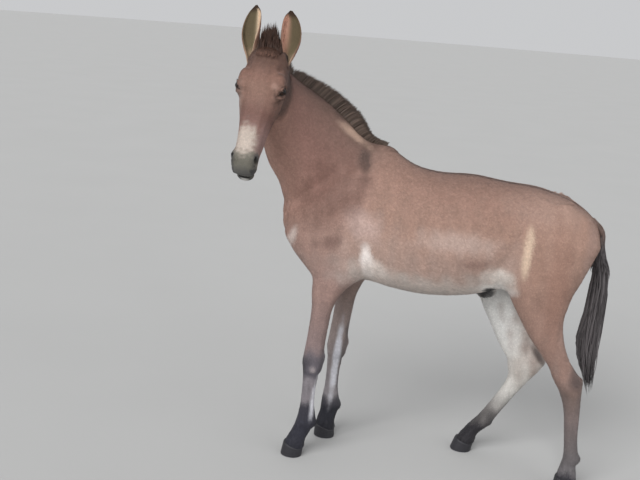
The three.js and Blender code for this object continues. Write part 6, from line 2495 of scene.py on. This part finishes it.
@dataclass
class Ear:
    """An ear: a bent, pointed cup with a pale fringe of hair inside its inner edge."""

    name: str
    rows: int = 40
    columns: int = 30
    length: float = 166.0
    half_width: float = 31.0
    seed: int = 60

    def __post_init__(self) -> None:
        """Works out how the ear stands on the head."""
        head = MULE.head_frame
        left = self.name == "ear_left"
        self.sign = -1 if left else 1
        self.root = head.point(22, -55, -49 if left else 60)
        self.rise = head.direction(-0.98, -0.02, 0.12 if left else 0.13)
        self.aside = head.direction(0, 0, self.sign)
        self.bow = 9.0 if left else 11.0
        opening = head.direction(-0.1, 0.94, self.sign * 0.36)
        self.opening = unit(opening - self.rise * (opening @ self.rise))
        self.across = np.cross(self.rise, self.opening)
        self.inner = 1 if (self.across @ head.axes[2]) * self.sign < 0 else -1
        rows = [[at, width, depth, 0, wrap, thick, 0] for at, width, depth, wrap, thick in EAR]
        self.profile = SectionBody(rows, np.eye(3), 2)

    def at(self, share: Array, turn: Array, inset: Array) -> Array:
        """A point of the ear.

        Args:
            share: how far from root to tip.
            turn: from -1 at one edge to 1 at the other.
            inset: 0 on the outer face and 1 on the inner face.

        Returns:
            Points in the body's frame.
        """
        width, depth, _, wrap, thick, _ = self.profile.read(np.clip(share, 0, 1)).T
        inwards = inset * thick
        sunk = 1 + 2 * np.minimum(share, 0)
        half = np.maximum(width * sunk * self.half_width - inwards, 0.4)
        cup = np.maximum(depth - inwards, 0.3)
        middle = self.root + np.outer(share * self.length, self.rise)
        middle = middle + np.outer(np.sin(share * math.pi), self.bow * self.aside - 6 * self.opening)
        angle = wrap * turn
        return (middle + (np.sin(angle) * half)[:, None] * self.across
                - (np.cos(angle) * cup)[:, None] * self.opening)

    def colours(self, share: Array, turn: Array, inset: Array) -> Array:
        """Colours of the ear: dark tip and edge, olive cup with painted shade towards its outer side, and a
        pale inner edge.

        Args:
            share: how far from root to tip.
            turn: from -1 at one edge to 1 at the other.
            inset: 0 on the outer face and 1 on the inner face.

        Returns:
            One colour for each.
        """
        medial = turn * self.inner
        outer = linear((118, 88, 74))
        start, end, pale = (-0.2, 0.4, (172, 130, 112)) if self.sign < 0 else (0.0, 0.6, (206, 182, 156))
        reach = smooth(start, end, medial)
        cup = tinted(linear((98, 88, 66)), pale, reach * smooth(1, 0.8, share))
        # Painted shade deep in the cup, on the side away from the inner edge.
        cup = tinted(cup, (70, 58, 44), smooth(0.3, -0.2, medial) * smooth(0.15, 0.5, share) * 0.5)
        colours = outer + (cup - outer) * inset[:, None]
        colours = tinted(colours, (176, 150, 128), smooth(0.25, 0.05, share) * 0.5)
        return tinted(colours, (52, 38, 28), smooth(0.84, 0.95, share))

    def build(self, finish: bpy.types.Material) -> bpy.types.Object:
        """Makes the ear's cup.

        Args:
            finish: its material.

        Returns:
            The cup.
        """
        rows, columns = self.rows, self.columns
        share, turn = np.meshgrid(np.linspace(-0.15, 1, rows), np.linspace(-1, 1, columns), indexing="ij")
        share, turn = share.ravel(), turn.ravel()
        grids = [self.at(share, turn, np.full(len(share), side)) for side in (0.0, 1.0)]
        points = np.concatenate(grids)
        tints = [self.colours(share, turn, np.full(len(share), side)) for side in (0.0, 1.0)]
        faces, size = [], rows * columns
        for row in range(rows - 1):
            for column in range(columns - 1):
                a = row * columns + column
                b, c, d = a + 1, a + columns + 1, a + columns
                faces += [[a, b, c, d], [a + size, d + size, c + size, b + size]]
            first, last = row * columns, row * columns + columns - 1
            faces.append([first, first + columns, first + columns + size, first + size])
            faces.append([last, last + size, last + columns + size, last + columns])
        for column in range(columns - 1):
            top = (rows - 1) * columns + column
            faces.append([column, column + size, column + 1 + size, column + 1])
            faces.append([top, top + 1, top + 1 + size, top + size])
        corners = np.array([index % size for face in faces for index in face])
        flat = np.stack([turn[corners] * 0.5 + 0.5, share[corners]], axis=1)
        surface = Surface(points, faces, {"markings": opaque(np.concatenate(tints))}, {"SkinMap": flat})
        return face_outwards(make_object(self.name + "_cup", surface, finish))

    def hair(self, finish: bpy.types.Material) -> bpy.types.Object:
        """Makes the hair of the ear: the long pale fringe, and short hair over both faces.

        Args:
            finish: its material.

        Returns:
            The hair as one piece.
        """
        rng = np.random.default_rng(self.seed + self.sign)
        groups = []
        for count, low, top, edge, face, length, breadth, lift in EAR_HAIR:
            share = rng.uniform(low, top, count)
            turn = rng.uniform(*edge, count) * self.inner
            inset = np.full(count, face)
            root = self.at(share, turn, inset)
            ahead = self.at(np.minimum(share + 0.03, 1), turn, inset)
            away = unit(root - self.at(share, turn, 1 - inset))
            rise = unit(ahead - root)
            spans = rng.uniform(*length, count) * (1 - 0.35 * share)
            drift = rng.normal(0, 0.12, (count, 3))
            root = root - away * 0.3
            curve = bent(root, rise + away * lift, rise + away * lift + drift * min(1, 4 * lift), spans)
            shades = self.colours(share, turn, inset) * (1 + 0.35 * face)
            groups.append((curve, away, np.full(count, breadth), shades))
        curves, away, widths, colours = (np.concatenate(parts) for parts in zip(*groups))
        colours = colours * rng.uniform(0.82, 1.18, (len(curves), 1))
        broad = np.cross(away, np.broadcast_to(self.rise, away.shape))
        broad = unit(broad + 0.2 * rng.normal(size=away.shape))
        locks = LockRun(profile=(0.7, 1.0, 0.8, 0.45), sides=4)
        homes = homes_of(np.broadcast_to(self.root, away.shape) + 12 * away)
        surface = locks.build(curves, broad, widths, widths * 0.3, colours, homes, self.seed + 2)
        return make_object(self.name + "_hair", surface, finish)


@dataclass
class Eye:
    """An eyeball with its cornea, iris and level pupil, and the lashes over it."""

    name: str
    rings: int = 44
    segments: int = 56
    lash_count: int = 52
    upper_lashes: int = 40
    white: Colour = (58, 46, 40)
    iris: Colour = (44, 27, 18)
    iris_edge: Colour = (20, 13, 10)
    pupil: Colour = (7, 7, 9)
    lash: Colour = (34, 26, 22)
    seed: int = 70

    def __post_init__(self) -> None:
        """Finds which side the eye is on."""
        self.sign = -1 if self.name == "eye_left" else 1
        self.centre, self.axes = eye_axes(self.sign)

    def build(self, finish: bpy.types.Material) -> bpy.types.Object:
        """Makes the ball.

        Args:
            finish: its material.

        Returns:
            The eyeball.
        """
        polar = np.linspace(0.03, math.pi - 0.06, self.rings)
        p, a = (grid.ravel() for grid in np.meshgrid(polar, even_turns(self.segments), indexing="ij"))
        radius = EYE_RADIUS - 0.2 + 1.1 * np.exp(-(p / 0.62) ** 2)
        local = np.stack([np.sin(p) * np.cos(a), np.sin(p) * np.sin(a), np.cos(p)], axis=1)
        points = (local * radius[:, None]) @ self.axes + self.centre
        iris = np.hypot(local[:, 0] / 0.72, local[:, 1] / 0.60)
        pupil = np.hypot(local[:, 0] / 0.40, local[:, 1] / 0.2)
        front = local[:, 2] > 0
        colours = tinted(linear(self.white), self.iris, smooth(1.1, 0.96, iris) * front)
        colours = tinted(colours, self.iris_edge, np.exp(-((iris - 1) / 0.1) ** 2) * front * 0.8)
        colours = tinted(colours, self.pupil, smooth(1.15, 0.85, pupil) * front)
        surface = Surface(points, ring_faces(self.rings, self.segments), {"markings": opaque(colours)}, {})
        return make_object(self.name + "_ball", surface, finish)

    def lashes(self, finish: bpy.types.Material) -> bpy.types.Object:
        """Makes the lashes of both lids.

        Args:
            finish: its material.

        Returns:
            The lashes as one piece.
        """
        rng = np.random.default_rng(self.seed + self.sign)
        opening = EyeOpening(self.sign)
        count = self.lash_count
        upper = np.arange(count) < self.upper_lashes
        x = np.where(upper, rng.uniform(-0.92, 0.75, count), rng.uniform(-0.7, 0.7, count)) * opening.long
        across = 1 - (x / opening.long) ** 2
        y = np.where(upper, opening.upper * across ** 0.72, -opening.lower * across ** 0.85) * self.sign
        y = y + np.where(upper, 1.0, -1.0) * self.sign
        z = np.sqrt(np.maximum((EYE_RADIUS + opening.lid - 0.6) ** 2 - x ** 2 - y ** 2, 4))
        roots = np.stack([x, y, z], axis=1)
        side = np.where(upper, 1.0, -1.0) * self.sign
        rises = np.stack([-0.2 + 0 * x, 0.1 * side, 1 + 0 * x], axis=1)
        rises = rises + 0.1 * rng.normal(size=(count, 3))
        bends = np.stack([-0.5 + x / 40, -0.35 * side, 0.6 + 0 * x], axis=1)
        bends = bends + 0.15 * rng.normal(size=(count, 3))
        lengths = np.where(upper, rng.uniform(4, 7, count), rng.uniform(1.5, 3, count))
        curves = bent(roots @ self.axes + self.centre, rises @ self.axes, bends @ self.axes, lengths)
        colours = np.tile(linear(self.lash), (count, 1))
        broad = np.tile(self.axes[0], (count, 1))
        locks = LockRun(profile=(0.9, 1.0, 0.6), sides=4)
        surface = locks.build(curves, broad, np.full(count, 0.5), np.full(count, 0.4), colours,
                              homes_of(curves[:, 0]), self.seed + 1)
        return make_object(self.name + "_lashes", surface, finish)


@dataclass
class Hoof:
    """A hoof, flat on the floor, with rings of growth and a worn edge."""

    limb: str
    toe: float
    length: float = 80.0
    width: float = 66.0
    slope: float = 0.3
    rows: int = 30
    segments: int = 56
    horn: Colour = (34, 33, 38)
    worn: Colour = (70, 69, 76)

    def wall(self, height: Array, angle: Array) -> Array:
        """Points of the wall at heights and angles round the hoof.

        Args:
            height: heights over the floor.
            angle: angles round it, from the toe.

        Returns:
            Points in the body's frame.
        """
        body = MULE.limbs[self.limb]
        side = body.read(14.0)[0][2]
        top = body.read(HOOF_TOP)[0]
        share = height / (HOOF_TOP + 13)
        toe = self.toe + (top[0] - top[1] - 1.5 - self.toe) * share
        heel = self.toe + self.length + (top[0] + top[1] + 1.5 - self.toe - self.length) * share
        half = self.width / 2 + (top[3] + 1.5 - self.width / 2) * share
        forward = np.cos(angle)
        reach = np.where(forward > 0, 1, 0.86)
        x = (toe + heel) / 2 - forward * reach * (heel - toe) / 2
        y = side - np.sign(np.sin(angle)) * np.abs(np.sin(angle)) ** 0.85 * half
        return np.stack([x, y, height], axis=1)

    def hairline(self, points: Array) -> Array:
        """Height of the hairline over points of the floor."""
        return HOOF_TOP - 8 - self.slope * (points[:, 0] - self.toe - self.length / 2)

    def build(self, finish: bpy.types.Material) -> bpy.types.Object:
        """Makes the hoof.

        Args:
            finish: its material.

        Returns:
            The hoof.
        """
        angles = even_turns(self.segments)
        top = np.full(self.segments, HOOF_TOP)
        for _ in range(4):
            top = self.hairline(self.wall(top, angles)) - 0.6
        rings, shades = [], []
        for share in np.linspace(0, 1, self.rows):
            points = self.wall(top * share, angles)
            centre = points.mean(axis=0)
            worn = 1 - 0.05 * float(smooth(0.05, 0, share)) - 0.035 * float(smooth(0.94, 1.0, share))
            grown = 1 + 0.007 * math.sin(share * 38) + 0.004 * math.sin(share * 83 + 1)
            points[:, :2] = centre[:2] + (points[:, :2] - centre[:2]) * worn * grown
            rings.append(points)
            shade = np.full(self.segments, float(smooth(0.1, 0, share)))
            shades.append(tinted(linear(self.horn), self.worn, shade))
        faces = ring_faces(self.rows, self.segments)
        surface = Surface(np.concatenate(rings), faces, {"markings": opaque(np.concatenate(shades))}, {})
        return face_outwards(make_object(self.limb.replace("leg", "hoof") + "_horn", surface, finish))


@dataclass
class Studio:
    """The floor, the lights and the camera."""

    lens: float = 47.8
    sensor: float = 36.0
    turn: tuple[float, float, float] = (6.0, 15.0, 4.5)
    eye: tuple[float, float, float] = (290.6, -2764.8, 1500.0)
    floor_radius: float = 60.0
    floor_sides: int = 96
    aim: tuple[float, float, float] = (0.0, 0.0, 0.8)
    sky: tuple[float, float, float, float] = (0.97, 0.98, 1.0, 1.0)
    sky_strength: float = 0.6

    # Name, place, spread in degrees and power of each lamp.
    lamps = (("key", (-1.6, -3.2, 3.6), 40, 2.6), ("fill", (3.4, -1.8, 2.2), 60, 0.8))

    def floor(self) -> None:
        """Lays the pale floor."""
        sides = self.floor_sides
        angles = even_turns(sides)
        mesh = bpy.data.meshes.new("studio_floor")
        reach = self.floor_radius
        ring = [(reach * math.cos(angle), reach * math.sin(angle), 0) for angle in angles]
        faces = [(0, index + 1, (index + 1) % sides + 1) for index in range(sides)]
        mesh.from_pydata([(0, 0, 0), *ring], [], faces)
        mesh.materials.append(FloorFinish().build())
        made = link("studio_floor", mesh)

    def lights(self) -> None:
        """Hangs the soft lights."""
        for name, place, spread, power in self.lamps:
            lamp = bpy.data.lights.new(name, "SUN")
            lamp.energy, lamp.angle = power, math.radians(spread)
            made = link(name, lamp)
            made.location = place
            made.rotation_euler = (Vector(self.aim) - Vector(place)).to_track_quat("-Z", "Y").to_euler()
        world = bpy.data.worlds.new("studio")
        world.use_nodes = True
        back = world.node_tree.nodes["Background"]
        back.inputs["Color"].default_value = self.sky
        back.inputs["Strength"].default_value = self.sky_strength
        bpy.context.scene.world = world

    def camera(self) -> None:
        """Sets the camera at the photograph's place and angle."""
        yaw, pitch, roll = (math.radians(angle) for angle in self.turn)
        level = np.array([-math.sin(yaw), math.cos(yaw), 0])
        right = np.array([math.cos(yaw), math.sin(yaw), 0])
        up = np.array([0, 0, 1.0])
        forward = level * math.cos(pitch) - up * math.sin(pitch)
        rise = level * math.sin(pitch) + up * math.cos(pitch)
        across = right * math.cos(roll) + rise * math.sin(roll)
        over = rise * math.cos(roll) - right * math.sin(roll)
        place = BEARINGS.to_model(np.array(self.eye))
        data = bpy.data.cameras.new("camera")
        data.lens, data.sensor_width = self.lens, self.sensor
        data.clip_start, data.clip_end = 0.05, 200
        made = link("camera", data)
        turn = Matrix([[*row] for row in np.array([across, over, -forward]).T])
        made.matrix_world = Matrix.Translation(Vector(place)) @ turn.to_4x4()
        bpy.context.scene.camera = made

    def build(self) -> None:
        """Sets the stage."""
        self.floor()
        self.lights()
        self.camera()
        bpy.context.scene.view_settings.view_transform = "Standard"


def settle(piece: bpy.types.Object, slot: str, *nodes: str) -> None:
    """Makes a piece ride on the body and stands it in for nodes.

    Args:
        piece: the finished piece.
        slot: the record's material slot; not used.
        nodes: the nodes that it replaces.
    """
    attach(piece, BODY)
    if nodes:
        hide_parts(*nodes)
    LOG.info("%s: %d faces", piece.name, len(piece.data.polygons))


def main() -> None:
    """Builds every piece and sets the stage."""
    logging.basicConfig(level=logging.INFO, format="%(message)s")
    Studio().build()
    skin = Skin().build()
    skin_finish = SkinFinish().build()
    settle(make_object("skin", skin, skin_finish), "coat", "torso", "neck", "head", *LIMBS)
    for piece in Coat(skin, TuftFinish()).build():
        settle(piece, "coat")
    long_hair = LockFinish().build()
    settle(Mane().build(long_hair), "hair")
    settle(Forelock().build(long_hair), "hair")
    tail = Tail()
    settle(tail.dock(long_hair), "hair")
    settle(tail.build(long_hair), "hair", "tail")
    ear_hair = LockFinish("ear_hair", 0.7, (0.92, 1.1), (0.85, 1.2)).build()
    ear_finish = SkinFinish("ear_skin", 0.9, 0.05, 0.0008, (70, 9, 1), 0.7, 1.3).build()
    for name in ("ear_left", "ear_right"):
        ear = Ear(name)
        settle(ear.build(ear_finish), "ear", name)
        settle(ear.hair(ear_hair), "ear")
    eye_finish = EyeFinish().build()
    for name in ("eye_left", "eye_right"):
        eye = Eye(name)
        settle(eye.build(eye_finish), "eye", name)
        settle(eye.lashes(long_hair), "hair")
    horn = HornFinish().build()
    for limb, toe in HOOF_TOES.items():
        settle(Hoof(limb, toe).build(horn), "hoof", limb.replace("leg", "hoof"))


if __name__ == "__main__":
    main()
